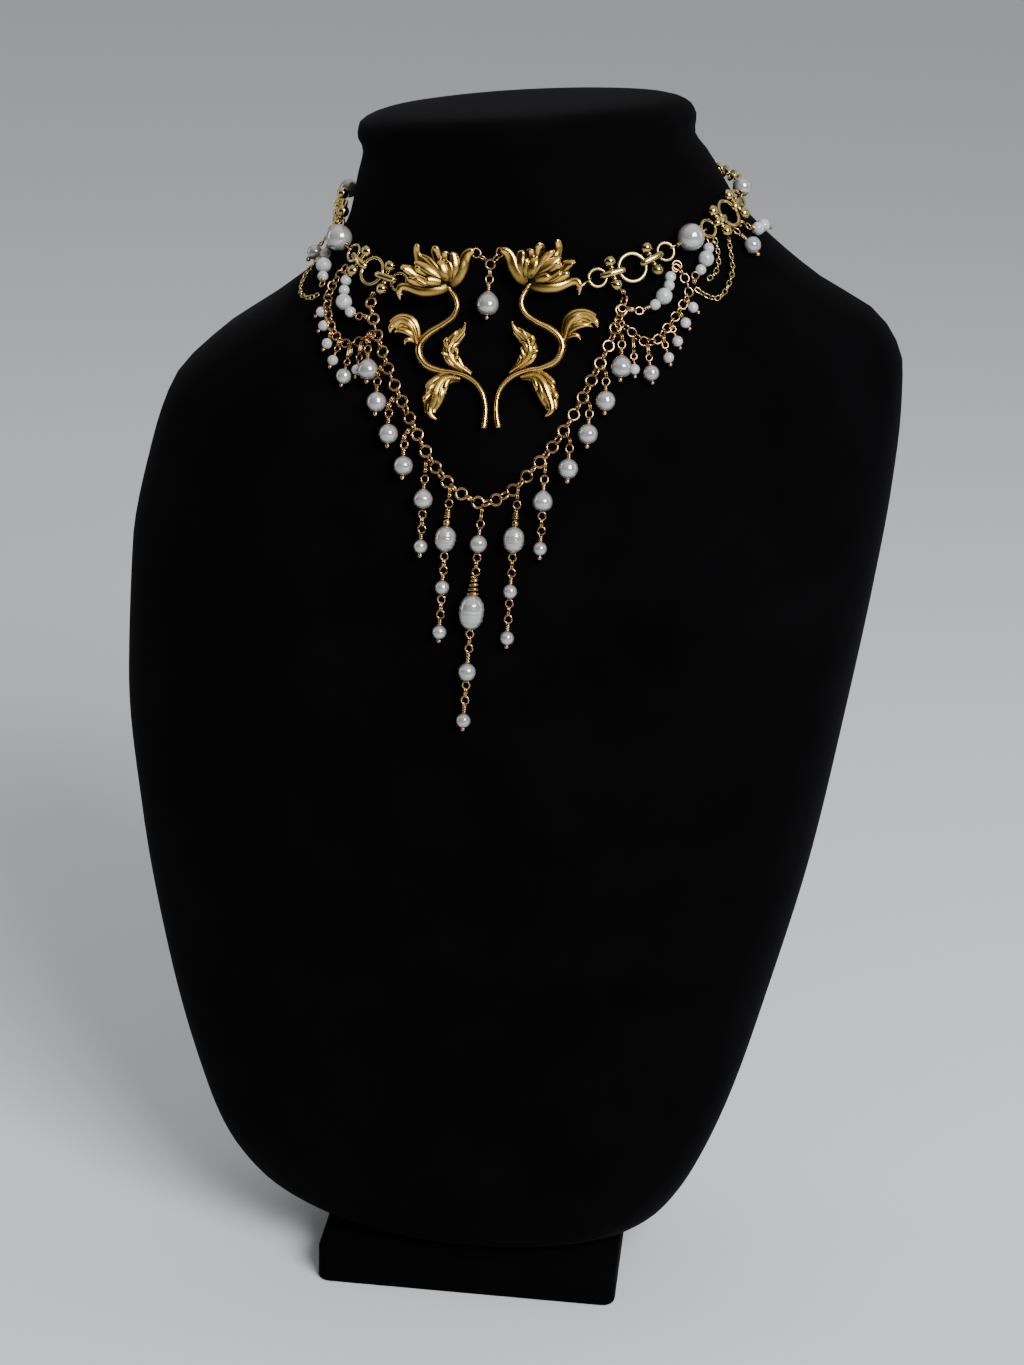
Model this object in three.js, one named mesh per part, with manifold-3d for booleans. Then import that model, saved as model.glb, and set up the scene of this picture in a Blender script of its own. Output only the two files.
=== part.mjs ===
// Choker on a velvet neck bust. Millimetres, +Z up, the bust faces -Y, +X is to the viewer's right.
// The origin is the centre of the foot plate's underside.
import * as THREE from 'three';
import { mergeVertices } from 'three/addons/utils/BufferGeometryUtils.js';
import Module from 'manifold-3d';

const wasm = await Module();
wasm.setup();

// ---------------------------------------------------------------- driving dimensions
const FOOT = { width: 94, front: -41, back: 45, height: 12, corner: 4, edge: 1 };
const FORM_SIDES = 32;
const FORM_RINGS = 27;
const TOP_TILT = 5.2;              // degrees: the top of the neck is a little higher on the right
const TILT_FROM = 335;             // height at which that tilt begins
const TILT_FULL = 350;
const NECK_AXIS_Y = 9;
const CLEARANCE = 0.3;

const CHOKER_TILT = 4.8;           // degrees: the choker sits a little askew, right side up
const BAND_OUT = 2.8;              // how far the band's centre line stands off the velvet
const BACK_OUT = 3.8;              // the same behind the neck
const RING_WIRE = 0.9;
const RING_WIDTH = 5.8;
const LARGE_RING_WIRE = 1.2;
const LARGE_RING_WIDTH = 8.8;
const LINK_INSIDE = 6.2;           // inside length of the oval link of a ball connector
const LINK_WIDTH = 3.7;
const BALL = 3.2;
const BALL_SPREAD = 3.35;          // from the link's middle to each ball's centre
const POST = 1.5;
const PEARL = 7.6;
const NECK_PEARL = 5.6;
const PEARL_CLEARANCE = 1;         // keeps a straight-sided pearl off the curving velvet
const EYE_WIDTH = 3.3;
const EYE_WIRE = 0.6;
const THREAD = 1.4;                // the fine wire and links between beads, as one thread
const EYE_PIN = 0.9;               // wire through a band pearl
const SMALL_WIRE = 0.7;
const WIRE_SIDES = 4;

const V_CHAIN = 2.4;
const V_OUT = 2.2;
const SWAG_CHAIN = 1.6;
const SWAG_OUT = 2;
const CABLE = 1.4;
const CABLE_OUT = 1.8;
const BACK_CHAIN = 3;
const BACK_CHAIN_STEPS = 10;
const CLASP = { length: 12, width: 4.6 };

// Sections of the velvet form. front, middle and back are the Y of its front, its widest line and
// its back; square_front and square_back say how square each half is (2 is an ellipse).
const SECTION_KEYS = ['z', 'left', 'right', 'front', 'middle', 'back', 'square_front', 'square_back'];
const SECTIONS = [
  [12.3, 34, 34, -28, -6, 12, 2.2, 2.3],
  [13.5, 45, 45, -34, -6, 18, 2.2, 2.4],
  [17, 58, 55, -38, -8, 24, 2.2, 2.6],
  [26, 72, 63, -42, -10, 31, 2.2, 2.8],
  [42, 83, 71, -46, -11, 37, 2.2, 3.0],
  [65, 91, 79, -50, -11, 41, 2.2, 3.2],
  [100, 100, 88, -56, -9, 45, 2.2, 3.4],
  [145, 108, 98, -62, -6, 48, 2.2, 3.4],
  [190, 112.5, 105, -65, -2, 50, 2.2, 3.4],
  [230, 111.5, 110.5, -64, 2, 51, 2.2, 3.4],
  [258, 106.5, 113.5, -59, 5, 52, 2.2, 3.2],
  [278, 100, 114.5, -53, 7, 52, 2.2, 3.0],
  [292, 87, 114, -47, 8, 52, 2.15, 2.8],
  [304, 70, 108, -42, 9, 52, 2.1, 2.6],
  [316, 56, 88, -38, 9, 52, 2.05, 2.4],
  [330, 48, 70, -35, 9, 52, 2.0, 2.2],
  [345, 45.8, 55.5, -34, 9, 52, 2.0, 2.0],
  [351.5, 44.8, 50, -34, 9, 52, 2.0, 2.0],
  [355.5, 46.5, 50.3, -35, 9, 52, 2.0, 2.0],
  [358.6, 46, 49, -34, 9, 51, 2.0, 2.0],
  [361, 42, 45, -30, 9, 48, 2.0, 2.0],
  [362, 34, 37, -23, 9, 41, 2.0, 2.0],
  [362.2, 22, 25, -12, 9, 30, 2.0, 2.0],
].map((row) => Object.fromEntries(row.map((value, i) => [SECTION_KEYS[i], value])));

// The flowers, in the plane of the right-hand stamping: u runs to the right, v runs up.
const FLOWER_ORIGIN = [-0.7, -45.5, 305];
const FLOWER_LEAN = 19;            // degrees: the stem's foot stands further forward than the petals
const FLOWER_YAW = 5;              // degrees: each flower turns back around the neck
const STEM = 1.8;
const PETAL_THICKNESS = 1.1;
const LEAF_THICKNESS = 1.2;
const STEM_ROUTE = [
  [10.9, 13.6], [9.3, 11], [8.8, 8.6], [10.2, 5.8], [13.2, 3.6], [16.6, 1.8], [19, -0.4], [19.8, -3.4],
  [18, -6.9], [14.4, -8.7], [10.2, -9.4], [6.6, -10.6], [3.9, -12.7], [2.2, -15.4], [1.5, -18.6],
  [1.5, -21.6], [2, -24.9],
];
// Petals: how far each one's back stands out of the plane, and its outline.
const PETALS = [
  { out: 0.2, outline: [[11, 14.6], [8.8, 15.6], [7.2, 17.9], [6.1, 20.6], [5, 22.2], [3.4, 23],
    [3.4, 24.1], [5.5, 24.2], [6.8, 23], [8, 21], [9.2, 18.8], [10.6, 16.5]] },
  { out: -0.4, outline: [[10.8, 15], [9, 18.5], [6.8, 22.8], [7.5, 24.2], [9, 22.6], [12.5, 17]] },
  { out: 0, outline: [[10.3, 15.1], [9.4, 18.7], [10.1, 21.8], [12, 23.8], [14, 25.2], [15.3, 24.4],
    [14.8, 22.2], [13.6, 19.6], [13, 16]] },
  { out: 0.8, outline: [[11.3, 15.5], [13.6, 19.8], [15.9, 22.3], [17.9, 23.6], [18.2, 25.5],
    [19.2, 25.9], [20, 25], [19.8, 22.4], [18.9, 19.6], [16.4, 16.6], [13.1, 15]] },
  { out: 0.2, outline: [[13.1, 15.2], [16.4, 17.9], [20, 20], [22.8, 20.8], [24, 19.8], [22.9, 18.2],
    [21.4, 16.8], [18.5, 14.4]] },
  { out: 1.2, outline: [[11.2, 14.4], [13, 16.2], [16.5, 16.9], [20, 16.9], [22.6, 16.4], [22.8, 14.8],
    [19.6, 13.8], [14.9, 13.2]] },
  { out: 0.4, outline: [[11, 13.8], [12.3, 12.2], [15, 11.5], [18, 11.9], [21, 12.9], [23.2, 13.6],
    [24.6, 14.2], [22.8, 15.4], [17.5, 14.6]] },
];
const HEAD_DOME = { u: 15, v: 16, out: 1.4, width: 10.5, height: 7.2, depth: 4.4 };
const CALYX = { u: 11, v: 13.7, out: 0.5, size: 3 };
const PETAL_HOOK = { u: 24.5, from: 14.4, to: 10.4, out: 0.9, width: 1.4 };
const PETAL_TIP = { u: 2.7, v: 23.5, out: 0.8 };
const CENTRE_RING = { x: -1.9, z: 323.6, out: 2.4, width: 3.8 };
const CENTRE_HANGER = { rise: 1.6, width: 1.3 };   // the two small rings at the petal tips, as one bow
const JUMP_RING = { width: 3.6, overlap: 1.6 };
const LEAVES = [
  { rib: [[20.3, -1.6], [21.8, 2], [24.2, 4.4], [28.8, 3.2]],
    outline: [[20.4, -2.2], [20.6, 1.2], [21.7, 4.5], [22.9, 5.9], [24.3, 6.4], [26.1, 6.1], [28.4, 4.6],
      [29.6, 3], [29.4, 1.6], [28, 2.6], [26.6, 2.8], [25.6, 1.6], [24.8, 0.6], [25, -1.6], [23.6, -1],
      [22.4, -1], [21.2, -2.8]] },
  { rib: [[8.4, -9.4], [9.6, -6], [9, -1.4], [6.4, 3.4]],
    outline: [[6.6, -10], [7.2, -7.8], [7.4, -4.5], [6.9, -1.6], [6.9, 0.2], [5.9, 3.2], [6.3, 4.4],
      [7.6, 2.6], [9.4, 1.4], [10.2, 0], [11.8, 0.2], [12.3, -1.5], [12, -2.5], [13.1, -4], [12.5, -5.2],
      [11.4, -6], [11.4, -8], [10.2, -9.6]] },
  { rib: [[9.6, -9.6], [13.6, -11.4], [16.4, -16], [15.4, -21.6]],
    outline: [[8.6, -10.4], [10.6, -9.2], [13.8, -9.6], [15.6, -11], [16.7, -12], [16.5, -13], [17.7, -13.8],
      [17.5, -15], [18.6, -16.2], [18.1, -17.6], [17.7, -19.2], [16.7, -21.2], [15, -22.4], [14.4, -21.7],
      [15.7, -20.3], [14.8, -18.1], [14.3, -16.8], [13, -16.2], [12.6, -14.8], [11.6, -13.8], [10, -12]] },
];

// Height of the choker band around the neck, before its tilt, against the angle from the front.
const BAND_RISE = [
  [0, 316.5], [15, 317.2], [30, 318.7], [42, 321], [50, 323.9], [57, 326.5], [65, 328.5], [74, 331],
  [82, 333.2], [90, 335.4], [105, 337.5], [120, 338.5], [150, 339.5], [180, 340],
];
// Pieces along the band, in millimetres around the neck from the middle of the front.
const BAND_AT = {
  inner_ring: 28.2, connector_a: 32.6, large_ring: 38.3, connector_b: 44.3, outer_ring: 49,
  side_pearl: 56.9, side_ring: 64.8, side_link: 69.8, side_large_ring: 75.6, side_link_2: 81.4,
  side_ring_2: 86.4,
};
const NECK_PEARL_AT = { left: 94.3, right: 92.8 };

// The V of rolo chain, from just under each large ring to the lowest point (x, z).
const V_ROUTES = {
  right: [[35.2, 316.4], [34.4, 312.7], [31.8, 304], [27.9, 295.2], [23.7, 286.2], [18.9, 278.2],
    [12.6, 270.4], [9.1, 266.5], [4.8, 263.5], [1.6, 262]],
  left: [[-35.6, 311.4], [-34.6, 308], [-32.7, 303.1], [-30.6, 298.8], [-27.7, 293], [-24.6, 288],
    [-19.7, 280.2], [-14.4, 272.1], [-8.1, 265.7], [-4, 263.4], [-0.9, 262]],
};

// The pearl under the centre ring, with the ends of its wire.
const CENTRE_DROP = [
  { z: 321.3, out: 2.4 },
  { z: 313.8, out: 3.4, shape: 'drop', width: 6, length: 6.6 },
  { z: 309.4, out: 3.2 },
];

// Short drops on the V: the pearl's place (x, z), how far above it the ring sits, and the pearl.
const SHORT_KEYS = ['side', 'x', 'z', 'ring_above', 'ring_shift', 'width', 'length', 'shape'];
const SHORT_DROPS = [
  ['left', -34.8, 294.3, 6.6, -0.8, 5.6, 6.2, 'drop'],
  ['left', -30.8, 286.3, 6.8, -0.4, 5.6, 5.6, 'round'],
  ['left', -26.8, 278.5, 7.0, -0.4, 5.5, 5.5, 'round'],
  ['left', -22, 270.6, 7.2, -0.2, 5.4, 5.4, 'round'],
  ['right', 35.6, 298.9, 7.2, -0.4, 5.8, 6.4, 'drop'],
  ['right', 32, 290, 6.6, -0.4, 5.6, 5.6, 'round'],
  ['right', 27.9, 281.5, 6.8, 0, 5.6, 5.6, 'round'],
  ['right', 23.2, 272.4, 7.0, 0, 5.6, 5.6, 'round'],
].map((row) => Object.fromEntries(row.map((value, i) => [SHORT_KEYS[i], value])));

// Long drops: where each hangs (x, z of its top ring), how far its end drifts sideways, and its
// pieces by their distance below that ring: [shape, below, width, length].
const LONG_DROPS = {
  drop_outer_left: { x: -15.9, z: 267.8, drift: -0.2, pieces: [['link', -2.9], ['drop', 5.4, 5.3, 5.6],
    ['link', 9.9], ['link', 12.6], ['link', 15.2], ['round', 18.4, 3.9, 3.9], ['end', 21.1]] },
  drop_inner_left: { x: -8.9, z: 261.6, drift: -1, pieces: [['link', -2.5], ['link', 3.8],
    ['oval', 9.4, 5.9, 7.2], ['link', 14.3], ['link', 18.2], ['round', 22.8, 4, 4], ['link', 26.4],
    ['link', 30.4], ['round', 35.4, 4, 4], ['end', 38.4]] },
  drop_centre: { x: 0.2, z: 257.8, drift: -2.7, pieces: [['link', -2.6], ['round', 6.5, 4.9, 4.9],
    ['link', 10.5], ['link', 14.2], ['coil', 17.8, 3, 3.6], ['oval', 24.8, 7.6, 10], ['link', 31.3],
    ['link', 35.6], ['round', 42.3, 5.1, 5.1], ['link', 46.5], ['link', 50.8],
    ['round', 56.7, 4.1, 4.1], ['end', 59.9]] },
  drop_inner_right: { x: 9.8, z: 262.4, drift: -0.9, pieces: [['link', -2.6], ['link', 3.8],
    ['oval', 9.3, 5.9, 7.3], ['link', 14.4], ['link', 18.5], ['round', 23.5, 4, 4], ['link', 27.1],
    ['link', 31.3], ['round', 36.6, 4, 4], ['end', 39.5]] },
  drop_outer_right: { x: 16.9, z: 269.6, drift: -0.1, pieces: [['link', -3], ['drop', 5.8, 5.4, 5.9],
    ['link', 10.2], ['link', 13], ['link', 15.7], ['round', 18.8, 3.9, 3.9], ['end', 21.5]] },
};

// Runs of beads and chain at the sides. A row is the angle around the neck from the front, the
// height, and what sits there with its width.
const BEAD_STRANDS = {
  bead_strand_right_1: { out: 2.4, pieces: [[37.8, 313.2, 'end'], [39, 313, 'link'], [40.8, 312.8, 'link'],
    [42.4, 313.3, 'link'], [44.2, 314.4, 'round', 3.1], [46.5, 316.6, 'round', 4.6],
    [48.6, 319.2, 'round', 3.1], [49.6, 321.4, 'round', 3.1], [51.6, 321.4, 'end']] },
  bead_strand_right_2: { out: 2.6, pieces: [[54.8, 320.6, 'end'], [55.4, 321.6, 'link'],
    [57, 323, 'round', 3.1], [59.4, 325.7, 'round', 4.5], [61.4, 328.2, 'round', 3.1], [62.4, 330, 'end']] },
  bead_strand_right_3: { out: 2.4, pieces: [[75.5, 333.2, 'end'], [77.5, 332, 'link'],
    [80.5, 331.2, 'round', 3.8], [84.6, 331.4, 'round', 3.8], [88, 330.6, 'coil', 2.8, 1.6],
    [90, 330, 'end']] },
  bead_strand_left_1: { out: 2.4, pieces: [[-38.6, 306.8, 'end'], [-39.6, 306.9, 'link'],
    [-41.4, 306.7, 'link'], [-43.9, 307.4, 'round', 3.1], [-47.2, 309.6, 'round', 4.6],
    [-50, 312.2, 'round', 3.1], [-51.6, 314.6, 'round', 3.1], [-52.4, 316.8, 'end']] },
  bead_strand_left_2: { out: 2.95, pieces: [[-59, 312.6, 'end'], [-61.4, 314.2, 'round', 3.1],
    [-65.2, 316.6, 'round', 4.5], [-69, 319.2, 'round', 3.1], [-71.4, 321.4, 'end']] },
};
// Swags: the chain's route, then each bead that hangs from it with the route point above it.
const BEAD_SWAGS = {
  bead_swag_right: { route: [[37.6, 308.4], [38.4, 306.2], [39.9, 305], [42.1, 305.1], [44, 307],
    [46.4, 309.6], [49.6, 313.4], [52.8, 317.6], [53, 321.2], [52.2, 325]],
    drops: [[38.8, 305.7, 37.6, 297.9, 3], [41.4, 304.9, 40.8, 297.2, 4.5], [44, 307, 44, 301, 3],
      [46.4, 309.6, 46.6, 305.2, 3], [48.8, 312.6, 49.4, 309.8, 3], [51.2, 315.6, 52.2, 313.6, 3]] },
  bead_swag_left: { route: [[-37, 301.2], [-38.4, 300.1], [-40.6, 299.5], [-43.8, 300.6], [-48.2, 303.8],
    [-53.4, 308.6], [-56, 312.4], [-55.8, 315.4], [-55.4, 318]],
    drops: [[-38.6, 300, -36.8, 293.4, 3], [-41, 299.7, -40, 291.6, 4.4], [-43.6, 300.6, -43.2, 295, 3],
      [-46.8, 302.8, -46.8, 298.8, 3], [-49.8, 305.2, -50.4, 302.8, 3], [-52.6, 307.8, -53.8, 305.9, 3]] },
};
const CABLE_SWAGS = {
  cable_swag_right_1: [[54.6, 318.2], [55.6, 317], [56.8, 316], [58.2, 315.7], [59.8, 316.7],
    [62.4, 319.4], [64.8, 322.3], [67.6, 327.4], [69, 330]],
  cable_swag_right_2: [[58.2, 320.4], [60, 321.4], [62.4, 324], [64.2, 327.4], [65.2, 330.4]],
  cable_swag_left: [[-74.5, 322.6], [-76, 319], [-76, 316], [-74.8, 313.2], [-69, 309.8],
    [-65, 308.4], [-60.6, 308.4], [-58.8, 309.6]],
};
const CABLE_PEARLS = {
  cable_pearl_right: { out: 2.2, pieces: [[72.4, 331.6, 'link'], [73.2, 328, 'round', 4.8],
    [73, 324.6, 'end']] },
  cable_pearl_left: { out: 3.05, pieces: [[-80, 322.4, 'link'], [-80, 317.6, 'round', 4.4],
    [-80, 314.5, 'end']] },
};

// ---------------------------------------------------------------- materials
const metal = (color, roughness) => new THREE.MeshStandardMaterial({ color, roughness, metalness: 1 });
const VELVET = new THREE.MeshStandardMaterial({ color: 0x0b0b0d, roughness: 1, metalness: 0 });
const BRASS = metal(0xb8862f, 0.32);
const PALE_GOLD = metal(0xc2a95c, 0.28);
const ROSE_GOLD = metal(0xc08a3e, 0.3);
const NACRE = new THREE.MeshStandardMaterial({ color: 0xe6e2de, roughness: 0.22, metalness: 0 });
const MILK = new THREE.MeshStandardMaterial({ color: 0xeeeeec, roughness: 0.3, metalness: 0 });

// ---------------------------------------------------------------- the velvet form's surface
const rad = THREE.MathUtils.degToRad;

function columnAt(key, z) {
  const height = THREE.MathUtils.clamp(z, SECTIONS[0].z, SECTIONS.at(-1).z);
  const i = Math.min(SECTIONS.findLastIndex((row) => row.z <= height), SECTIONS.length - 2);
  const rise = (k) => (SECTIONS[k + 1][key] - SECTIONS[k][key]) / (SECTIONS[k + 1].z - SECTIONS[k].z);
  const slope = (k) => {
    if (k === 0 || k === SECTIONS.length - 1) return rise(Math.min(k, SECTIONS.length - 2));
    const [below, above] = [rise(k - 1), rise(k)];
    return below * above <= 0 ? 0 : (2 * below * above) / (below + above);
  };
  const span = SECTIONS[i + 1].z - SECTIONS[i].z;
  const t = (height - SECTIONS[i].z) / span;
  const [t2, t3] = [t * t, t * t * t];
  return (2 * t3 - 3 * t2 + 1) * SECTIONS[i][key] + (t3 - 2 * t2 + t) * span * slope(i)
    + (3 * t2 - 2 * t3) * SECTIONS[i + 1][key] + (t3 - t2) * span * slope(i + 1);
}

function sectionAt(z) {
  return Object.fromEntries(SECTION_KEYS.slice(1).map((key) => [key, columnAt(key, z)]));
}

// Below zero inside the form grown by `out`, above zero outside it.
function level(x, y, z, out) {
  const s = sectionAt(z);
  const halfWidth = (x > 0 ? s.right : s.left) + out;
  const ahead = y < s.middle;
  const halfDepth = (ahead ? s.middle - s.front : s.back - s.middle) + out;
  const power = ahead ? s.square_front : s.square_back;
  return Math.abs(x / halfWidth) ** power + Math.abs((y - s.middle) / halfDepth) ** power - 1;
}

function cast(x, y, z, dirX, dirY, out) {
  let near = 0;
  let far = 200;
  for (let i = 0; i < 40; i += 1) {
    const middle = (near + far) / 2;
    if (level(x + dirX * middle, y + dirY * middle, z, out) < 0) near = middle;
    else far = middle;
  }
  return new THREE.Vector3(x + dirX * near, y + dirY * near, z);
}

function outwardAt(p) {
  const h = 0.5;
  const at = (dx, dy, dz) => level(p.x + dx, p.y + dy, p.z + dz, 2);
  return new THREE.Vector3(at(h, 0, 0) - at(-h, 0, 0), at(0, h, 0) - at(0, -h, 0),
    at(0, 0, h) - at(0, 0, -h)).normalize();
}

// A point that stands `out` off the velvet, measured square to it, on a level line from (x, y).
function seatedPoint(x, y, z, dirX, dirY, out) {
  const facing = outwardAt(cast(x, y, z, dirX, dirY, 0));
  return cast(x, y, z, dirX, dirY, out / Math.hypot(facing.x, facing.y));
}

const onFront = (x, z, out) => seatedPoint(x, NECK_AXIS_Y, z, 0, -1, out);
const aroundForm = (angle, z, out) => (
  seatedPoint(0, NECK_AXIS_Y, z, Math.sin(rad(angle)), -Math.cos(rad(angle)), out)
);

// ---------------------------------------------------------------- solids
function toSolid(geometry) {
  const bare = geometry.clone();
  bare.deleteAttribute('normal');
  bare.deleteAttribute('uv');
  const merged = mergeVertices(bare, 1e-4);
  return new wasm.Manifold(new wasm.Mesh({
    numProp: 3, vertProperties: merged.attributes.position.array, triVerts: merged.index.array,
  }));
}

function toGeometry(solid) {
  const mesh = solid.getMesh();
  const geometry = new THREE.BufferGeometry();
  geometry.setAttribute('position', new THREE.BufferAttribute(mesh.vertProperties, 3));
  geometry.setIndex(new THREE.BufferAttribute(mesh.triVerts, 1));
  return geometry;
}

function joined(geometries) {
  return toGeometry(geometries.map(toSolid).reduce((all, next) => all.add(next)));
}

function placed(geometry, point, x, y, z) {
  return geometry.applyMatrix4(new THREE.Matrix4().makeBasis(x, y, z).setPosition(point));
}

function roundShape(width, sides) {
  const shape = new THREE.Shape();
  for (let i = 0; i < sides; i += 1) {
    const angle = (i / sides) * 2 * Math.PI;
    const corner = [Math.cos(angle) * width / 2, Math.sin(angle) * width / 2];
    if (i === 0) shape.moveTo(...corner);
    else shape.lineTo(...corner);
  }
  return shape;
}

function tube(points, width, steps, sides = 8) {
  return new THREE.ExtrudeGeometry(roundShape(width, sides), {
    steps, extrudePath: new THREE.CatmullRomCurve3(points, false, 'centripetal'), bevelEnabled: false,
  });
}

const ring = (width, wire, segments = 10) => (
  new THREE.TorusGeometry((width - wire) / 2, wire / 2, WIRE_SIDES, segments)
);

// A ring pulled out into an oval link: its two halves move apart by `extra`.
function link(width, wire, length) {
  const geometry = ring(width, wire, 10);
  const position = geometry.attributes.position;
  const extra = (length - width) / 2;
  for (let i = 0; i < position.count; i += 1) {
    const x = position.getX(i);
    if (Math.abs(x) > 1e-4) position.setX(i, x + Math.sign(x) * extra);
  }
  return geometry;
}

function bead(width, length, pointed) {
  const sides = width > 5 ? 9 : 6;
  const geometry = new THREE.SphereGeometry(0.5, sides, sides > 6 ? 6 : 5);
  const position = geometry.attributes.position;
  for (let i = 0; i < position.count; i += 1) {
    const y = position.getY(i);
    const taper = pointed && y > 0 ? 1 - 1.3 * y * y : 1;
    position.setXYZ(i, position.getX(i) * width * taper, y * length, position.getZ(i) * width * taper);
  }
  return geometry;
}

// ---------------------------------------------------------------- the bust
function formGeometry() {
  const geometry = new THREE.CylinderGeometry(1, 1, 2, FORM_SIDES, FORM_RINGS).rotateX(Math.PI / 2);
  const position = geometry.attributes.position;
  const [bottom, top] = [SECTIONS[0].z, SECTIONS.at(-1).z];
  for (let i = 0; i < position.count; i += 1) {
    const z = bottom + (top - bottom) * (0.5 + 0.5 * Math.sin((position.getZ(i) * Math.PI) / 2));
    const s = sectionAt(z);
    const [cos, sin] = [position.getX(i), position.getY(i)];
    const power = 2 / (sin < 0 ? s.square_front : s.square_back);
    const bulge = (value) => Math.sign(value) * Math.abs(value) ** power;
    const x = bulge(cos) * (cos > 0 ? s.right : s.left);
    const y = s.middle + bulge(sin) * (sin < 0 ? s.middle - s.front : s.back - s.middle);
    const tilt = THREE.MathUtils.smoothstep(z, TILT_FROM, TILT_FULL) * Math.tan(rad(TOP_TILT));
    position.setXYZ(i, x, y, z + x * tilt);
  }
  return geometry;
}

function footGeometry() {
  const { width, front, back, height, corner, edge } = FOOT;
  const [x, y0, y1] = [width / 2 - edge, front + edge, back - edge];
  const shape = new THREE.Shape();
  shape.moveTo(-x + corner, y0);
  shape.lineTo(x - corner, y0);
  shape.quadraticCurveTo(x, y0, x, y0 + corner);
  shape.lineTo(x, y1 - corner);
  shape.quadraticCurveTo(x, y1, x - corner, y1);
  shape.lineTo(-x + corner, y1);
  shape.quadraticCurveTo(-x, y1, -x, y1 - corner);
  shape.lineTo(-x, y0 + corner);
  shape.quadraticCurveTo(-x, y0, -x + corner, y0);
  return new THREE.ExtrudeGeometry(shape, {
    depth: height - 2 * edge, curveSegments: 3, bevelThickness: edge, bevelSize: edge, bevelSegments: 2,
  }).translate(0, 0, edge);
}

// ---------------------------------------------------------------- the flowers
function plate(outline, thickness, out, side) {
  const points = outline.map(([u, v]) => new THREE.Vector2(u * side, v));
  const shape = new THREE.Shape(points);
  return new THREE.ExtrudeGeometry(shape, { depth: thickness, bevelEnabled: false }).translate(0, 0, out);
}

function flowerGeometry(side) {
  const route = (rows, out) => rows.map(([u, v]) => new THREE.Vector3(u * side, v, out));
  const ball = (spot, width, height, depth) => new THREE.SphereGeometry(0.5, 8, 5)
    .scale(width, height, depth).translate(spot.u * side, spot.v, spot.out);
  const hook = PETAL_HOOK;
  return joined([
    tube(route(STEM_ROUTE, 0), STEM, 22, 6),
    ...PETALS.map((petal) => plate(petal.outline, PETAL_THICKNESS, petal.out, side)),
    ...LEAVES.flatMap((leaf) => [
      plate(leaf.outline, LEAF_THICKNESS, -LEAF_THICKNESS / 2, side),
      tube(route(leaf.rib, LEAF_THICKNESS / 2), STEM / 2, 4, 4),
    ]),
    ball(HEAD_DOME, HEAD_DOME.width, HEAD_DOME.height, HEAD_DOME.depth),
    ball(CALYX, CALYX.size, CALYX.size, CALYX.size),
    tube(route([[hook.u - 1.4, hook.from], [hook.u, hook.from - 0.6], [hook.u, hook.to]], hook.out),
      hook.width, 3, 5),
  ]);
}

// ---------------------------------------------------------------- the band
const bandCurves = Object.fromEntries([['left', -1], ['right', 1]].map(([name, side]) => {
  const points = [];
  const tilt = Math.tan(rad(CHOKER_TILT));
  for (let angle = 0; angle <= 180; angle += 5) {
    const i = Math.min(BAND_RISE.findLastIndex(([a]) => a <= angle), BAND_RISE.length - 2);
    const [[a0, z0], [a1, z1]] = [BAND_RISE[i], BAND_RISE[i + 1]];
    const rise = z0 + ((z1 - z0) * (angle - a0)) / (a1 - a0);
    const out = THREE.MathUtils.lerp(BAND_OUT, BACK_OUT, THREE.MathUtils.smoothstep(angle, 75, 100));
    const untilted = aroundForm(angle * side, rise, out);
    points.push(aroundForm(angle * side, rise + untilted.x * tilt, out));
  }
  const curve = new THREE.CatmullRomCurve3(points, false, 'centripetal');
  curve.arcLengthDivisions = 400;
  return [name, { side, curve, length: curve.getLength() }];
}));

// The place and directions of a piece on the band: x along it, y up, z out of the velvet.
function station(sideName, distance) {
  const { side, curve, length } = bandCurves[sideName];
  const point = curve.getPointAt(distance / length);
  const x = curve.getTangentAt(distance / length).multiplyScalar(side);
  const z = outwardAt(point);
  z.addScaledVector(x, -z.dot(x)).normalize();
  return { point, x, y: new THREE.Vector3().crossVectors(z, x), z };
}

const atStation = (geometry, s) => placed(geometry, s.point, s.x, s.y, s.z);

function connectorParts(length) {
  return [
    link(LINK_WIDTH, RING_WIRE, length).rotateX(Math.PI / 2),
    new THREE.BoxGeometry(POST, 2 * BALL_SPREAD, POST),
    new THREE.BoxGeometry(POST + 0.4, RING_WIRE + 0.3, LINK_WIDTH - RING_WIRE),
    ...[-1, 1].map((end) => bead(BALL, BALL, false).translate(0, end * BALL_SPREAD, 0)),
  ];
}

// A bead on a wire with an eye at each end, `reach` from its middle. It rests on the velvet, so it
// stands further out than the eyes.
function eyedBead(width, reach) {
  const lift = Math.max(width / 2 + PEARL_CLEARANCE - BAND_OUT, 0);
  const eyeEnd = reach - (EYE_WIDTH - EYE_WIRE) / 2;
  const wire = [-eyeEnd, -width / 2, width / 2, eyeEnd]
    .map((x) => new THREE.Vector3(x, 0, Math.abs(x) > width / 2 ? 0 : lift * 0.7));
  return joined([
    bead(width, width, false).rotateZ(Math.PI / 2).translate(0, 0, lift),
    tube(wire, EYE_PIN, 3, 4),
    ...[-1, 1].map((end) => ring(EYE_WIDTH, EYE_WIRE, 8).rotateX(Math.PI / 2).translate(end * reach, 0, 0)),
  ]);
}

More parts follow.
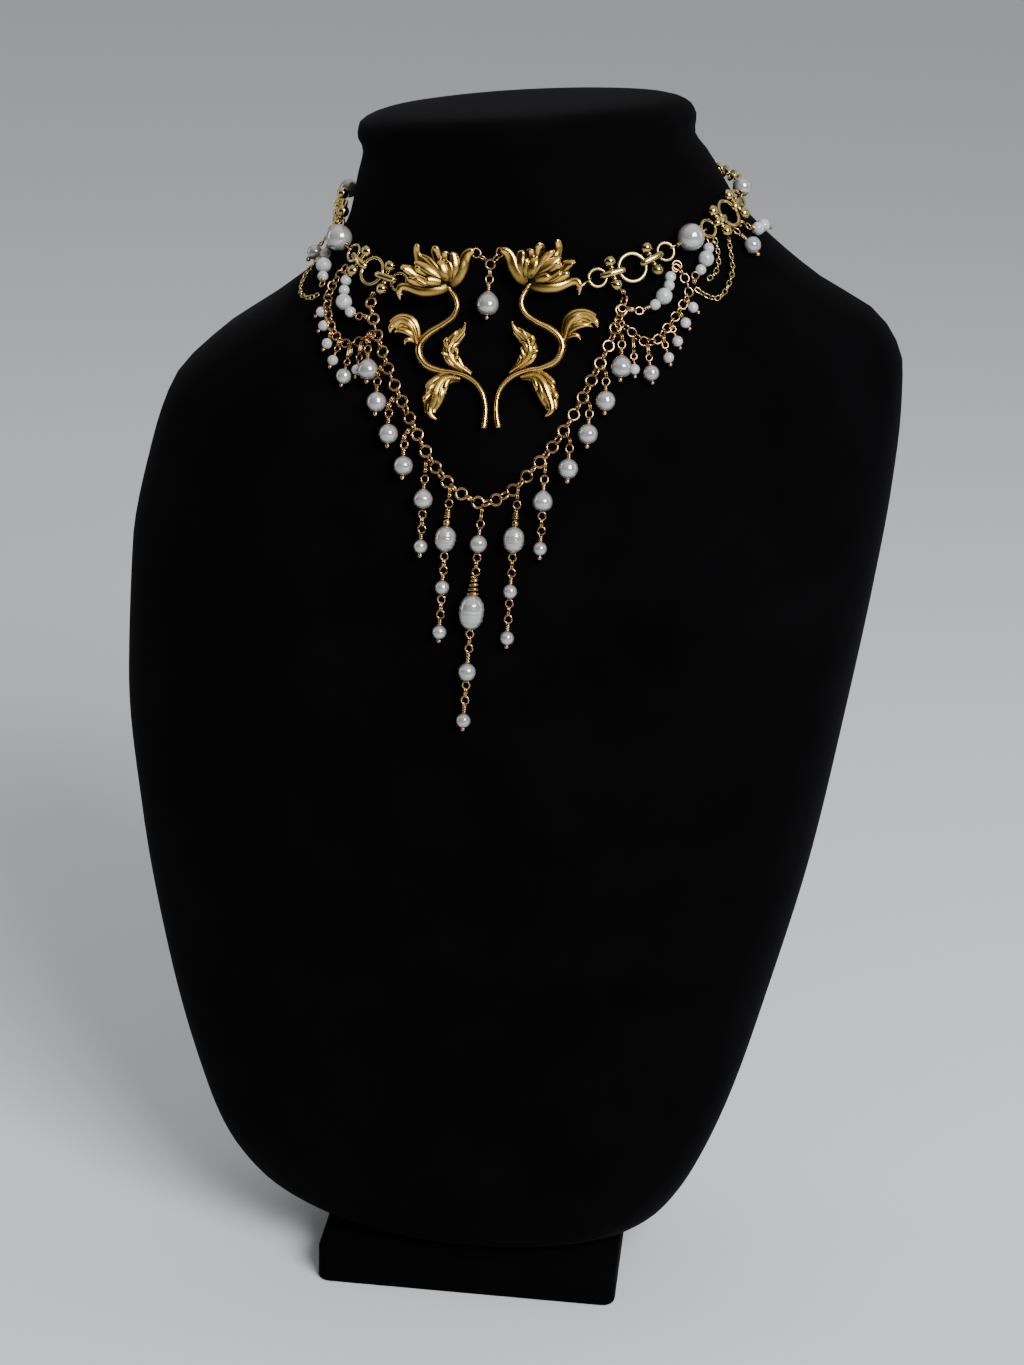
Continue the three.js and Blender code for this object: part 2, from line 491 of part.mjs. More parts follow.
// The ring and connector run at the side of the neck is soldered, so it is one solid.
function sideChainGeometry(sideName) {
  const ringReach = (LARGE_RING_WIDTH - LARGE_RING_WIRE) / 2 + (RING_WIDTH - RING_WIRE) / 2;
  const gap = BAND_AT.side_large_ring - BAND_AT.side_ring - ringReach;
  const oval = gap + RING_WIRE + LARGE_RING_WIRE / 2;
  const parts = [
    [ring(RING_WIDTH, RING_WIRE), BAND_AT.side_ring],
    ...connectorParts(oval).map((part) => [part, BAND_AT.side_link]),
    [ring(LARGE_RING_WIDTH, LARGE_RING_WIRE, 12), BAND_AT.side_large_ring],
    ...connectorParts(oval).map((part) => [part, BAND_AT.side_link_2]),
    [ring(RING_WIDTH, RING_WIRE), BAND_AT.side_ring_2],
  ];
  return joined(parts.map(([part, distance]) => atStation(part, station(sideName, distance))));
}

const neckPearlReach = (sideName) => (
  NECK_PEARL_AT[sideName] - BAND_AT.side_ring_2 - (RING_WIDTH - RING_WIRE) / 2
);

function backChainGeometry(sideName) {
  const { curve, length } = bandCurves[sideName];
  const start = NECK_PEARL_AT[sideName] + neckPearlReach(sideName) + EYE_WIDTH / 2 + 2 * CLEARANCE;
  const end = length - CLASP.length / 2 - CLEARANCE;
  const points = [];
  for (let i = 0; i <= BACK_CHAIN_STEPS; i += 1) {
    points.push(curve.getPointAt(THREE.MathUtils.lerp(start, end, i / BACK_CHAIN_STEPS) / length));
  }
  return tube(points, BACK_CHAIN, BACK_CHAIN_STEPS, 6);
}

// ---------------------------------------------------------------- strands and drops
const seatOut = (width) => Math.max(width / 2 + CLEARANCE + 0.2, 1.9);

// A bead, pearl or coil of a strand at a point, with y pointing back up the thread.
function strandPiece({ shape, width, length = width, point }, up) {
  const out = outwardAt(point);
  out.addScaledVector(up, -out.dot(up)).normalize();
  const piece = shape === 'coil' ? new THREE.CylinderGeometry(width / 2, width / 2, length, 6)
    : bead(width, length, shape === 'drop');
  return placed(piece, point, new THREE.Vector3().crossVectors(up, out), up, out);
}

// Beads joined along their thread. 'link' and 'end' rows only steer the thread.
function strandGeometry(spots) {
  const points = spots.map((spot) => spot.point);
  const pieces = spots.flatMap((spot, i) => {
    if (spot.width === undefined) return [];
    const up = points[Math.max(i - 1, 0)].clone().sub(points[Math.min(i + 1, points.length - 1)]).normalize();
    return [strandPiece(spot, up)];
  });
  return joined([tube(points, THREAD, points.length - 1, 4), ...pieces]);
}

function shortDropGeometry({ x, z, ring_above, ring_shift, width, length, shape }) {
  const out = seatOut(width);
  return strandGeometry([
    { point: onFront(x + ring_shift, z + ring_above + 1, out) },
    { shape, width, length, point: onFront(x, z, out) },
    { point: onFront(x, z - length / 2 - 1.2, out) },
  ]);
}

function longDropGeometry({ x, z, drift, pieces }) {
  const reach = pieces.at(-1)[1];
  return strandGeometry(pieces.map(([shape, below, width, length]) => ({
    shape, width, length, point: onFront(x + (drift * below) / reach, z - below, seatOut(width ?? 0)),
  })));
}

function beadStrandGeometry({ out, pieces }) {
  return strandGeometry(pieces.map(([angle, z, shape, width, length]) => ({
    shape, width, length, point: aroundForm(angle, z, Math.max(out, seatOut(width ?? 0))),
  })));
}

function beadSwagGeometry({ route, drops }) {
  const points = route.map(([angle, z]) => aroundForm(angle, z, SWAG_OUT));
  const hanging = drops.flatMap(([topAngle, topZ, angle, z, width]) => {
    const top = aroundForm(topAngle, topZ, SWAG_OUT);
    const point = aroundForm(angle, z, seatOut(width));
    const up = top.clone().sub(point).normalize();
    const foot = point.clone().addScaledVector(up, -width / 2 - 1);
    return [tube([top, point, foot], THREAD, 2, 4), strandPiece({ shape: 'round', width, point }, up)];
  });
  return joined([tube(points, SWAG_CHAIN, 10, 5), ...hanging]);
}

// ---------------------------------------------------------------- the whole piece
const group = new THREE.Group();

function addMesh(name, geometry, material, parent = group) {
  const mesh = new THREE.Mesh(geometry, material);
  mesh.name = name;
  parent.add(mesh);
  return mesh;
}

addMesh('bust_foot', footGeometry(), VELVET);
addMesh('bust_form', formGeometry(), VELVET);

const flowerPair = new THREE.Group();
const lean = rad(FLOWER_LEAN);
const tilt = rad(CHOKER_TILT);
const across = new THREE.Vector3(1, 0, 0);
const upLean = new THREE.Vector3(0, Math.sin(lean), Math.cos(lean));
const pairX = across.clone().multiplyScalar(Math.cos(tilt)).addScaledVector(upLean, Math.sin(tilt));
const pairY = upLean.clone().multiplyScalar(Math.cos(tilt)).addScaledVector(across, -Math.sin(tilt));
const pairZ = new THREE.Vector3().crossVectors(pairX, pairY);
flowerPair.quaternion.setFromRotationMatrix(new THREE.Matrix4().makeBasis(pairX, pairY, pairZ));
flowerPair.position.set(...FLOWER_ORIGIN);
group.add(flowerPair);
for (const { name, side } of [{ name: 'left', side: -1 }, { name: 'right', side: 1 }]) {
  const turned = new THREE.Group();
  turned.rotation.y = side * rad(FLOWER_YAW);
  addMesh(`flower_${name}`, flowerGeometry(side), BRASS, turned);
  flowerPair.add(turned);
}
flowerPair.updateMatrixWorld(true);

const centreRing = onFront(CENTRE_RING.x, CENTRE_RING.z, CENTRE_RING.out);
const petalTip = (side) => flowerPair.children[side < 0 ? 0 : 1]
  .localToWorld(new THREE.Vector3(side * PETAL_TIP.u, PETAL_TIP.v, PETAL_TIP.out));
const centreFacing = outwardAt(centreRing);
const centreUp = new THREE.Vector3(0, 0, 1).addScaledVector(centreFacing, -centreFacing.z).normalize();
const centreAcross = new THREE.Vector3().crossVectors(centreUp, centreFacing);
addMesh('centre_links', joined([
  placed(ring(CENTRE_RING.width, RING_WIRE), centreRing, centreAcross, centreUp, centreFacing),
  tube([petalTip(-1), centreRing.clone().addScaledVector(centreUp, CENTRE_HANGER.rise), petalTip(1)],
    CENTRE_HANGER.width, 4, 5),
]), ROSE_GOLD);
addMesh('centre_drop', strandGeometry(CENTRE_DROP.map(({ z, out, ...piece }) => (
  { ...piece, point: onFront(CENTRE_RING.x, z, out) }
))), NACRE);

for (const side of ['left', 'right']) {
  const put = (name, geometry, material) => addMesh(`${name}_${side}`, geometry, material);
  const at = (key) => station(side, BAND_AT[key]);
  const sign = bandCurves[side].side;

  const connectorLength = LINK_INSIDE + 2 * RING_WIRE;
  for (const name of ['inner_ring', 'outer_ring']) {
    put(name, atStation(ring(RING_WIDTH, RING_WIRE), at(name)), PALE_GOLD);
  }
  for (const name of ['connector_a', 'connector_b']) {
    put(name, atStation(joined(connectorParts(connectorLength)), at(name)), PALE_GOLD);
  }
  put('large_ring', atStation(ring(LARGE_RING_WIDTH, LARGE_RING_WIRE, 14), at('large_ring')), PALE_GOLD);
  const pearlReach = (BAND_AT.side_ring - BAND_AT.outer_ring - (RING_WIDTH - RING_WIRE)) / 2;
  put('side_pearl', atStation(eyedBead(PEARL, pearlReach), at('side_pearl')), NACRE);
  put('side_chain', sideChainGeometry(side), PALE_GOLD);
  const neckPearl = eyedBead(NECK_PEARL, neckPearlReach(side));
  put('neck_pearl', atStation(neckPearl, station(side, NECK_PEARL_AT[side])), NACRE);
  put('back_chain', backChainGeometry(side), PALE_GOLD);

  const flower = flowerPair.children[side === 'left' ? 0 : 1];
  const hookHeight = (PETAL_HOOK.from + PETAL_HOOK.to) / 2 + 0.4;
  const hook = flower.localToWorld(new THREE.Vector3(sign * PETAL_HOOK.u, hookHeight, PETAL_HOOK.out));
  const inner = at('inner_ring');
  const wire = inner.point.clone().addScaledVector(inner.x, (-sign * (RING_WIDTH - RING_WIRE)) / 2);
  const along = wire.clone().sub(hook);
  const jumpLength = along.length() + 2 * JUMP_RING.overlap + 2 * SMALL_WIRE;
  const middle = wire.clone().add(hook).multiplyScalar(0.5);
  along.normalize();
  const facing = inner.y.clone().addScaledVector(along, -inner.y.dot(along)).normalize();
  put('jump_ring', placed(link(JUMP_RING.width, SMALL_WIRE, jumpLength), middle, along,
    new THREE.Vector3().crossVectors(facing, along), facing), ROSE_GOLD);

  const route = V_ROUTES[side].map(([x, z]) => onFront(x, z, V_OUT));
  put('v_chain', tube(route, V_CHAIN, 14, 6), ROSE_GOLD);
}

const nape = bandCurves.right.curve.getPointAt(1);
addMesh('clasp', new THREE.CapsuleGeometry(CLASP.width / 2, CLASP.length - CLASP.width, 3, 8)
  .rotateZ(Math.PI / 2).translate(0, nape.y, nape.z), PALE_GOLD);

const counts = { left: 0, right: 0 };
for (const drop of SHORT_DROPS) {
  counts[drop.side] += 1;
  addMesh(`short_drop_${drop.side}_${counts[drop.side]}`, shortDropGeometry(drop), NACRE);
}
for (const [name, drop] of Object.entries(LONG_DROPS)) addMesh(name, longDropGeometry(drop), NACRE);
for (const [name, strand] of Object.entries(BEAD_STRANDS)) addMesh(name, beadStrandGeometry(strand), MILK);
for (const [name, swag] of Object.entries(BEAD_SWAGS)) addMesh(name, beadSwagGeometry(swag), ROSE_GOLD);
for (const [name, route] of Object.entries(CABLE_SWAGS)) {
  addMesh(name, tube(route.map(([angle, z]) => aroundForm(angle, z, CABLE_OUT)), CABLE, 10, 5), ROSE_GOLD);
}
for (const [name, strand] of Object.entries(CABLE_PEARLS)) addMesh(name, beadStrandGeometry(strand), NACRE);

export default group;
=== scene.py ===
# %% [markdown]
# # A floral choker on a velvet neck bust
# The piece is a choker of stamped brass flowers, rings, ball links, chain and pearls, shown on a
# black velvet neck bust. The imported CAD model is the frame: it says where every piece is and how
# big it is. This script makes the surfaces that a jeweller would see, in the same places.
# Everything is first shaped in millimetres, because jewellery is measured that way, and each mesh
# is made metres as its last step.

# %% The frame
import math

import bmesh
import bpy
from mathutils import Matrix, Vector, noise


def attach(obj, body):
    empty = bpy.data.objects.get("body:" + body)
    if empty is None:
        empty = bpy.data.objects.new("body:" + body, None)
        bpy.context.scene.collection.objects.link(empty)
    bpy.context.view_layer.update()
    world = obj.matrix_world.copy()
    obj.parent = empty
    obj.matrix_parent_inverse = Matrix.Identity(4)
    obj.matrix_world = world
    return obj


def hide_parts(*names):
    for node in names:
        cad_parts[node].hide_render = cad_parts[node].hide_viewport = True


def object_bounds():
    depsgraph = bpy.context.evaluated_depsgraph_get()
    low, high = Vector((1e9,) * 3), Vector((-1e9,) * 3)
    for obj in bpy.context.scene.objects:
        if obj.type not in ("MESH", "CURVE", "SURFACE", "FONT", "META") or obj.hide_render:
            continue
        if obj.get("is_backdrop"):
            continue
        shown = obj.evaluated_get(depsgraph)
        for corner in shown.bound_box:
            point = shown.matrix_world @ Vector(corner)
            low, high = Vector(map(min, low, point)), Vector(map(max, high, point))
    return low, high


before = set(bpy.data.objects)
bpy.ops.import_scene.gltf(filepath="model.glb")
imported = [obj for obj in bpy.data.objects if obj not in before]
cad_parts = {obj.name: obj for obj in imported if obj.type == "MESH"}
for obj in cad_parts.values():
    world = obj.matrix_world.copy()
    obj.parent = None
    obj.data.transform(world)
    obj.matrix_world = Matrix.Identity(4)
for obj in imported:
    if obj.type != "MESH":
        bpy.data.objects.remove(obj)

MM = 0.001
cad_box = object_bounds()
print("CAD box in mm:", [[round(value / MM, 1) for value in corner] for corner in cad_box])

# %% [markdown]
# ## Camera
# The bust is looked down on a little, from just right of its middle, through a fairly long lens.
# A camera could be aimed with a Track To constraint, but then the small roll of the hand-held
# view would be lost. So the camera's three axes are worked out from where it looks, rolled by two
# degrees, and written as one matrix.

# %% Camera
EYE = Vector((0.078, -0.742, 0.4516))
AIM = Vector((0.0042, 0.0, 0.1895))
ROLL = math.radians(2.0)
LENS = 68.57

ahead = (AIM - EYE).normalized()
level_right = ahead.cross(Vector((0, 0, 1))).normalized()
level_up = level_right.cross(ahead)
camera_right = level_right * math.cos(ROLL) + level_up * math.sin(ROLL)
camera_up = camera_right.cross(ahead)

camera_data = bpy.data.cameras.new("camera")
camera_data.sensor_width = 36.0
camera_data.lens = LENS
camera_data.clip_start = 0.05
camera = bpy.data.objects.new("camera", camera_data)
camera.matrix_world = Matrix.Translation(EYE) @ Matrix(
    (camera_right, camera_up, -ahead)
).transposed().to_4x4()
bpy.context.collection.objects.link(camera)
bpy.context.scene.camera = camera
print("camera looks down by", round(math.degrees(-math.asin(ahead.z)), 1), "degrees")

# %% [markdown]
# ## Floor and light
# Polished metal shows its surroundings, so the light matters as much as the shapes. One large
# soft box in front, like a window, gives each pearl its highlight and each petal its bright face.
# Two weak strips stand at the sides. The rest of the room is dark in front and pale behind, so the
# metal between the highlights goes deep brown and its rims stay pale. The floor is one pale plane.

# %% Floor
FLOOR_SIDE = 40.0


def set_inputs(node, values):
    for name, value in values.items():
        node.inputs[name].default_value = value


floor_mesh = bpy.data.meshes.new("floor")
bm = bmesh.new()
bmesh.ops.create_grid(bm, x_segments=1, y_segments=1, size=FLOOR_SIDE / 2)
bm.to_mesh(floor_mesh)
bm.free()
floor = bpy.data.objects.new("floor", floor_mesh)
bpy.context.collection.objects.link(floor)
floor_material = bpy.data.materials.new("pale_floor")
floor_material.use_nodes = True
set_inputs(floor_material.node_tree.nodes["Principled BSDF"], {
    "Base Color": (0.55, 0.575, 0.595, 1), "Roughness": 0.9, "Specular IOR Level": 0.2,
})
floor_mesh.materials.append(floor_material)
floor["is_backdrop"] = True

# %% Lights
# name: place, what it looks at, size, power in watts
SOFT_BOXES = {
    "window": ((0.80, -1.12, 1.10), (0, 0, 0.28), (0.8, 0.75), 52),
    "left": ((-1.6, 0.1, 0.7), (0, 0, 0.28), (0.4, 1.2), 4),
    "right": ((1.6, 0.3, 0.8), (0, 0, 0.28), (0.4, 1.2), 4),
}
for name, (stand, target, size, power) in SOFT_BOXES.items():
    light = bpy.data.lights.new(name, "AREA")
    light.shape = "RECTANGLE"
    light.size, light.size_y = size
    light.energy = power
    box = bpy.data.objects.new(name, light)
    box.location = stand
    box.rotation_euler = (Vector(target) - Vector(stand)).to_track_quat("-Z", "Y").to_euler()
    bpy.context.collection.objects.link(box)

world = bpy.data.worlds.new("studio")
world.use_nodes = True
bpy.context.scene.world = world
world_nodes = world.node_tree.nodes
link = world.node_tree.links.new
way = world_nodes.new("ShaderNodeTexCoord")
parts = world_nodes.new("ShaderNodeSeparateXYZ")
link(way.outputs["Generated"], parts.inputs[0])
together = world_nodes.new("ShaderNodeMath")
together.operation = "ADD"
# axis: where the gradient starts and ends, and how bright it is there
ROOM_LIGHT = {"Y": (-0.25, 0.8, 0.01, 0.45), "Z": (0.45, 1.0, 0.0, 0.95)}
RANGE_INPUTS = ("From Min", "From Max", "To Min", "To Max")
for socket, (axis, ramp) in enumerate(ROOM_LIGHT.items()):
    gradient = world_nodes.new("ShaderNodeMapRange")
    set_inputs(gradient, dict(zip(RANGE_INPUTS, ramp)))
    link(parts.outputs[axis], gradient.inputs["Value"])
    link(gradient.outputs["Result"], together.inputs[socket])
link(together.outputs[0], world_nodes["Background"].inputs["Color"])
print("lights:", ", ".join(SOFT_BOXES))

# %% [markdown]
# ## The surface everything lies on
# The bust is a soft form with a level section at each height: two half super-ellipses that share
# their widest line. The same rows that made its CAD solid are kept here, in millimetres, with
# smooth curves between them, so that the choker can be laid on the form by asking how far a line
# goes before it leaves the velvet. A ray cast on the mesh would also do that, but it would feel
# every facet.

# %% Sections of the form
# From 42 to 330 mm up, the left and right widths are a fit to the form's outline, rounded.
SECTION_KEYS = ("z", "left", "right", "front", "middle", "back", "square_front", "square_back")
SECTION_ROWS = [
    (12.3, 34, 34, -28, -6, 12, 2.2, 2.3),
    (13.5, 45, 45, -34, -6, 18, 2.2, 2.4),
    (17, 58, 55, -38, -8, 24, 2.2, 2.6),
    (26, 72, 63, -42, -10, 31, 2.2, 2.8),
    (42, 83, 71, -46, -11, 37, 2.2, 3.0),
    (65, 91, 79, -50, -11, 41, 2.2, 3.2),
    (100, 100, 88, -56, -9, 45, 2.2, 3.4),
    (145, 108, 98, -62, -6, 48, 2.2, 3.4),
    (190, 112.5, 105, -65, -2, 50, 2.2, 3.4),
    (230, 111.5, 110.5, -64, 2, 51, 2.2, 3.4),
    (258, 106.5, 113.5, -59, 5, 52, 2.2, 3.2),
    (278, 100, 114.5, -53, 7, 52, 2.2, 3.0),
    (292, 87, 114, -47, 8, 52, 2.15, 2.8),
    (304, 70, 108, -42, 9, 52, 2.1, 2.6),
    (316, 56, 88, -38, 9, 52, 2.05, 2.4),
    (330, 48, 70, -35, 9, 52, 2.0, 2.2),
    (345, 45.8, 55.5, -34, 9, 52, 2.0, 2.0),
    (351.5, 44.8, 50, -34, 9, 52, 2.0, 2.0),
    (355.5, 46.5, 50.3, -35, 9, 52, 2.0, 2.0),
    (358.6, 46, 49, -34, 9, 51, 2.0, 2.0),
    (361, 42, 45, -30, 9, 48, 2.0, 2.0),
    (362, 34, 37, -23, 9, 41, 2.0, 2.0),
    (362.2, 22, 25, -12, 9, 30, 2.0, 2.0),
]
SECTIONS = [dict(zip(SECTION_KEYS, row)) for row in SECTION_ROWS]
NECK_AXIS_Y = 9
NECK_HEIGHT = 338


def column_at(key, z):
    """One column of the table at height z, on a smooth curve that never overshoots."""
    height = min(max(z, SECTIONS[0]["z"]), SECTIONS[-1]["z"])
    i = max(k for k in range(len(SECTIONS) - 1) if SECTIONS[k]["z"] <= height)

    def rise(k):
        return (SECTIONS[k + 1][key] - SECTIONS[k][key]) / (SECTIONS[k + 1]["z"] - SECTIONS[k]["z"])

    def slope(k):
        if k == 0 or k == len(SECTIONS) - 1:
            return rise(min(k, len(SECTIONS) - 2))
        below, above = rise(k - 1), rise(k)
        return 0 if below * above <= 0 else 2 * below * above / (below + above)

    span = SECTIONS[i + 1]["z"] - SECTIONS[i]["z"]
    t = (height - SECTIONS[i]["z"]) / span
    return (
        (2 * t**3 - 3 * t**2 + 1) * SECTIONS[i][key]
        + (t**3 - 2 * t**2 + t) * span * slope(i)
        + (3 * t**2 - 2 * t**3) * SECTIONS[i + 1][key]
        + (t**3 - t**2) * span * slope(i + 1)
    )


def section_at(z):
    return {key: column_at(key, z) for key in SECTION_KEYS[1:]}


neck = section_at(NECK_HEIGHT)
print("the neck is", round(neck["left"] + neck["right"], 1), "mm wide")

# %% Finding the velvet
FAR_OUTSIDE = 200.0
HALVINGS = 34


def level(x, y, s, out):
    """Below zero inside section s grown by out, above zero outside it."""
    half_width = (s["right"] if x > 0 else s["left"]) + out
    in_front = y < s["middle"]
    half_depth = (s["middle"] - s["front"] if in_front else s["back"] - s["middle"]) + out
    power = s["square_front"] if in_front else s["square_back"]
    return abs(x / half_width) ** power + abs((y - s["middle"]) / half_depth) ** power - 1


def cast(x, y, z, way_x, way_y, out):
    """Where a level line from inside the form meets its surface grown by out."""
    s = section_at(z)
    near, far = 0.0, FAR_OUTSIDE
    for _ in range(HALVINGS):
        middle = (near + far) / 2
        if level(x + way_x * middle, y + way_y * middle, s, out) < 0:
            near = middle
        else:
            far = middle
    return Vector((x + way_x * near, y + way_y * near, z))


def outward_at(p):
    """The direction square to the velvet near point p."""
    here = section_at(p.z)

    def change(axis):
        step = Vector([0.5 if k == axis else 0 for k in range(3)])
        a, b = p + step, p - step
        s_a, s_b = (section_at(a.z), section_at(b.z)) if axis == 2 else (here, here)
        return level(a.x, a.y, s_a, 2) - level(b.x, b.y, s_b, 2)

    return Vector((change(0), change(1), change(2))).normalized()


def seated(x, y, z, way_x, way_y, out):
    """A point that stands out off the velvet, measured square to it."""
    facing = outward_at(cast(x, y, z, way_x, way_y, 0))
    return cast(x, y, z, way_x, way_y, out / math.hypot(facing.x, facing.y))


def on_front(x, z, out):
    return seated(x, NECK_AXIS_Y, z, 0, -1, out)


def around(angle, z, out):
    """A point around the neck, angle degrees from the middle of the front, + to the right."""
    a = math.radians(angle)
    return seated(0, NECK_AXIS_Y, z, math.sin(a), -math.cos(a), out)


print("front of the form at 300 mm:", [round(v, 1) for v in on_front(0, 300, 0)])

# %% [markdown]
# ## Tools for making pieces
# A jeweller works with a few stock forms: wire rings, links, coils, beads and tube. Each is made
# once by a bmesh operator and then stamped wherever it is needed. Stamping a finished ring is much
# cheaper than spinning a new one for each of several hundred links. Each stamp gets a matrix whose
# X runs across, Y out of the velvet and Z up the thread.

# %% Stamping
def place(point, up, out, turn=0.0):
    """The matrix of a piece at a point: Z along up, Y outwards, turned about Z by turn degrees."""
    z = up.normalized()
    y = (out - z * out.dot(z)).normalized()
    matrix = Matrix((y.cross(z), y, z)).transposed().to_4x4()
    matrix.translation = point
    return matrix @ Matrix.Rotation(math.radians(turn), 4, "Z")


def stamp(bm, shape, matrix, material=0):
    """Adds a placed copy of a ready shape to a bmesh.

    The copy is placed before it is added. Afterwards it would be hard to pick out, because a bmesh
    gives new vertices the slots of deleted ones, so the newest are not always the last.
    """
    copy = shape.copy()
    copy.transform(matrix)
    copy.polygons.foreach_set("material_index", [material] * len(copy.polygons))
    bm.from_mesh(copy)
    bpy.data.meshes.remove(copy)


def stretched(across, along):
    """Makes a shape wider across its thread and longer along it."""
    return Matrix.Diagonal((across, across, along, 1))


def ready(name, bm):
    """Keeps a bmesh as a shape for stamping."""
    bmesh.ops.recalc_face_normals(bm, faces=bm.faces)
    shape = bpy.data.meshes.new(name)
    bm.to_mesh(shape)
    bm.free()
    return shape


pieces = []


def finish(name, bm, materials, nodes):
    """Turns a bmesh in millimetres into a finished piece that stands for its CAD nodes."""
    bmesh.ops.scale(bm, vec=(MM, MM, MM), verts=bm.verts)
    mesh = bpy.data.meshes.new(name)
    bm.to_mesh(mesh)
    bm.free()
    mesh.shade_smooth()
    for material in materials:
        mesh.materials.append(material)
    piece = bpy.data.objects.new(name, mesh)
    bpy.context.collection.objects.link(piece)
    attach(piece, "root")
    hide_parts(*nodes)
    pieces.append(piece)
    return piece


# %% Rings and links
def ring_shape(width, wire, length=None, segments=16, sides=8):
    """A wire ring that faces outwards, pulled out into an oval link where a length is given."""
    bm = bmesh.new()
    profile = bmesh.ops.create_circle(bm, segments=sides, radius=wire / 2)["verts"]
    bmesh.ops.rotate(bm, verts=profile, cent=(0, 0, 0), matrix=Matrix.Rotation(math.pi / 2, 3, "X"))
    bmesh.ops.translate(bm, verts=profile, vec=((width - wire) / 2, 0, 0))
    bmesh.ops.spin(
        bm, geom=bm.verts[:] + bm.edges[:], cent=(0, 0, 0), axis=(0, 0, 1),
        angle=2 * math.pi, steps=segments, use_merge=True, use_duplicate=False,
    )
    bmesh.ops.rotate(bm, verts=bm.verts, cent=(0, 0, 0), matrix=Matrix.Rotation(math.pi / 2, 3, "X"))
    for half in (1, -1):
        end = [v for v in bm.verts if v.co.z * half > 1e-4]
        bmesh.ops.translate(bm, verts=end, vec=(0, 0, half * ((length or width) - width) / 2))
    return ready("ring", bm)


# The sizes that a stamp is stretched from, where a wrap or a link has to fill a gap.
LOOP_LENGTH, JUMP_LENGTH, WRAP_LENGTH, CONE_LENGTH, CONE_WIDTH = 2.7, 2.1, 1.7, 3.6, 2.3
RING = ring_shape(5.8, 0.95, segments=28, sides=10)
LARGE_RING = ring_shape(8.8, 1.15, segments=36, sides=10)
ROLO = ring_shape(3.8, 0.78)
LOOP = ring_shape(2.5, 0.5, LOOP_LENGTH)
JUMP = ring_shape(JUMP_LENGTH, 0.42, segments=12, sides=6)
CABLE_LINK = ring_shape(1.7, 0.42, 2.3, segments=12, sides=6)
FINE_LINK = ring_shape(2.9, 0.5, 3.1)
RING_PAIR = 0.24


def stamp_doubled_ring(bm, matrix, material=0):
    """Two jump rings side by side, each RING_PAIR from the middle."""
    for shift in (-RING_PAIR, RING_PAIR):
        stamp(bm, JUMP, matrix @ Matrix.Translation((0, shift, 0)), material)


print("one rolo link has", len(ROLO.polygons), "faces")

# %% Coils, balls and beads
def coil_shape(width, wire, turns, length, base=None):
    """Wire wound round a thread: a spin that climbs. base widens it towards its lower end."""
    bm = bmesh.new()
    profile = bmesh.ops.create_circle(bm, segments=6, radius=wire / 2)["verts"]
    bmesh.ops.rotate(bm, verts=profile, cent=(0, 0, 0), matrix=Matrix.Rotation(math.pi / 2, 3, "X"))
    bmesh.ops.translate(bm, verts=profile, vec=((width - wire) / 2, 0, -(length - wire) / 2))
    steps = round(turns * 10)
    bmesh.ops.spin(
        bm, geom=bm.verts[:] + bm.edges[:], cent=(0, 0, 0), axis=(0, 0, 1),
        dvec=(0, 0, (length - wire) / steps), angle=2 * math.pi * turns, steps=steps,
    )
    bmesh.ops.holes_fill(bm, edges=[e for e in bm.edges if e.is_boundary], sides=8)
    for v in bm.verts:
        widen = 1 + ((base or width) / width - 1) * (0.5 - v.co.z / length)
        v.co.x *= widen
        v.co.y *= widen
    return ready("coil", bm)


def add_ball(bm, width, u=14, v=10):
    """A ball at the origin. The operator lists its poles more than once, so they go through a set."""
    made = bmesh.ops.create_uvsphere(bm, u_segments=u, v_segments=v, radius=width / 2)
    return list(set(made["verts"]))


def ball_shape(width, u=14, v=10):
    bm = bmesh.new()
    add_ball(bm, width, u, v)
    return ready("ball", bm)


WRAP = coil_shape(1.3, 0.48, 3, WRAP_LENGTH)
CONE_WRAP = coil_shape(1.6, 0.7, 4, CONE_LENGTH, base=3.4)
PIN_HEAD = ball_shape(1.45)
WIRE_BALL = ball_shape(2.3)
CONNECTOR_BALL = ball_shape(3.5, 20, 14)
LONG_BEAD = 6.5


def fullness(shape, z):
    """How full a bead is at height z, from -1 at its foot to 1 at its top."""
    if shape == "drop":
        return 1.03 - 0.13 * z - 0.16 * max(z, 0) ** 2
    if shape == "oval":
        return 1 + 0.12 * z * z * (1 - z * z) + 0.05 * z * (1 - z * z)
    return 1


def add_bead(bm, matrix, width, length, shape="round", grooves=0.015, seed=0.0, material=0):
    """A bead with its thread along Z. A drop is fullest low down, an oval nearly straight-sided."""
    bead = bmesh.new()
    rings, waves = (36, 20) if length > LONG_BEAD else (20, 11)
    for v in add_ball(bead, 1, 24, rings):
        z = v.co.z * 2
        full = fullness(shape, z)
        dent = 1 - grooves * (0.5 + 0.5 * math.cos(z * waves + seed))
        lump = 1 + 0.035 * noise.noise(v.co * 2.2 + Vector((seed, 0, 0)))
        v.co.x *= width * full * dent * lump
        v.co.y *= width * full * dent * lump
        v.co.z *= length
    shape_mesh = ready("bead", bead)
    stamp(bm, shape_mesh, matrix, material)
    bpy.data.meshes.remove(shape_mesh)


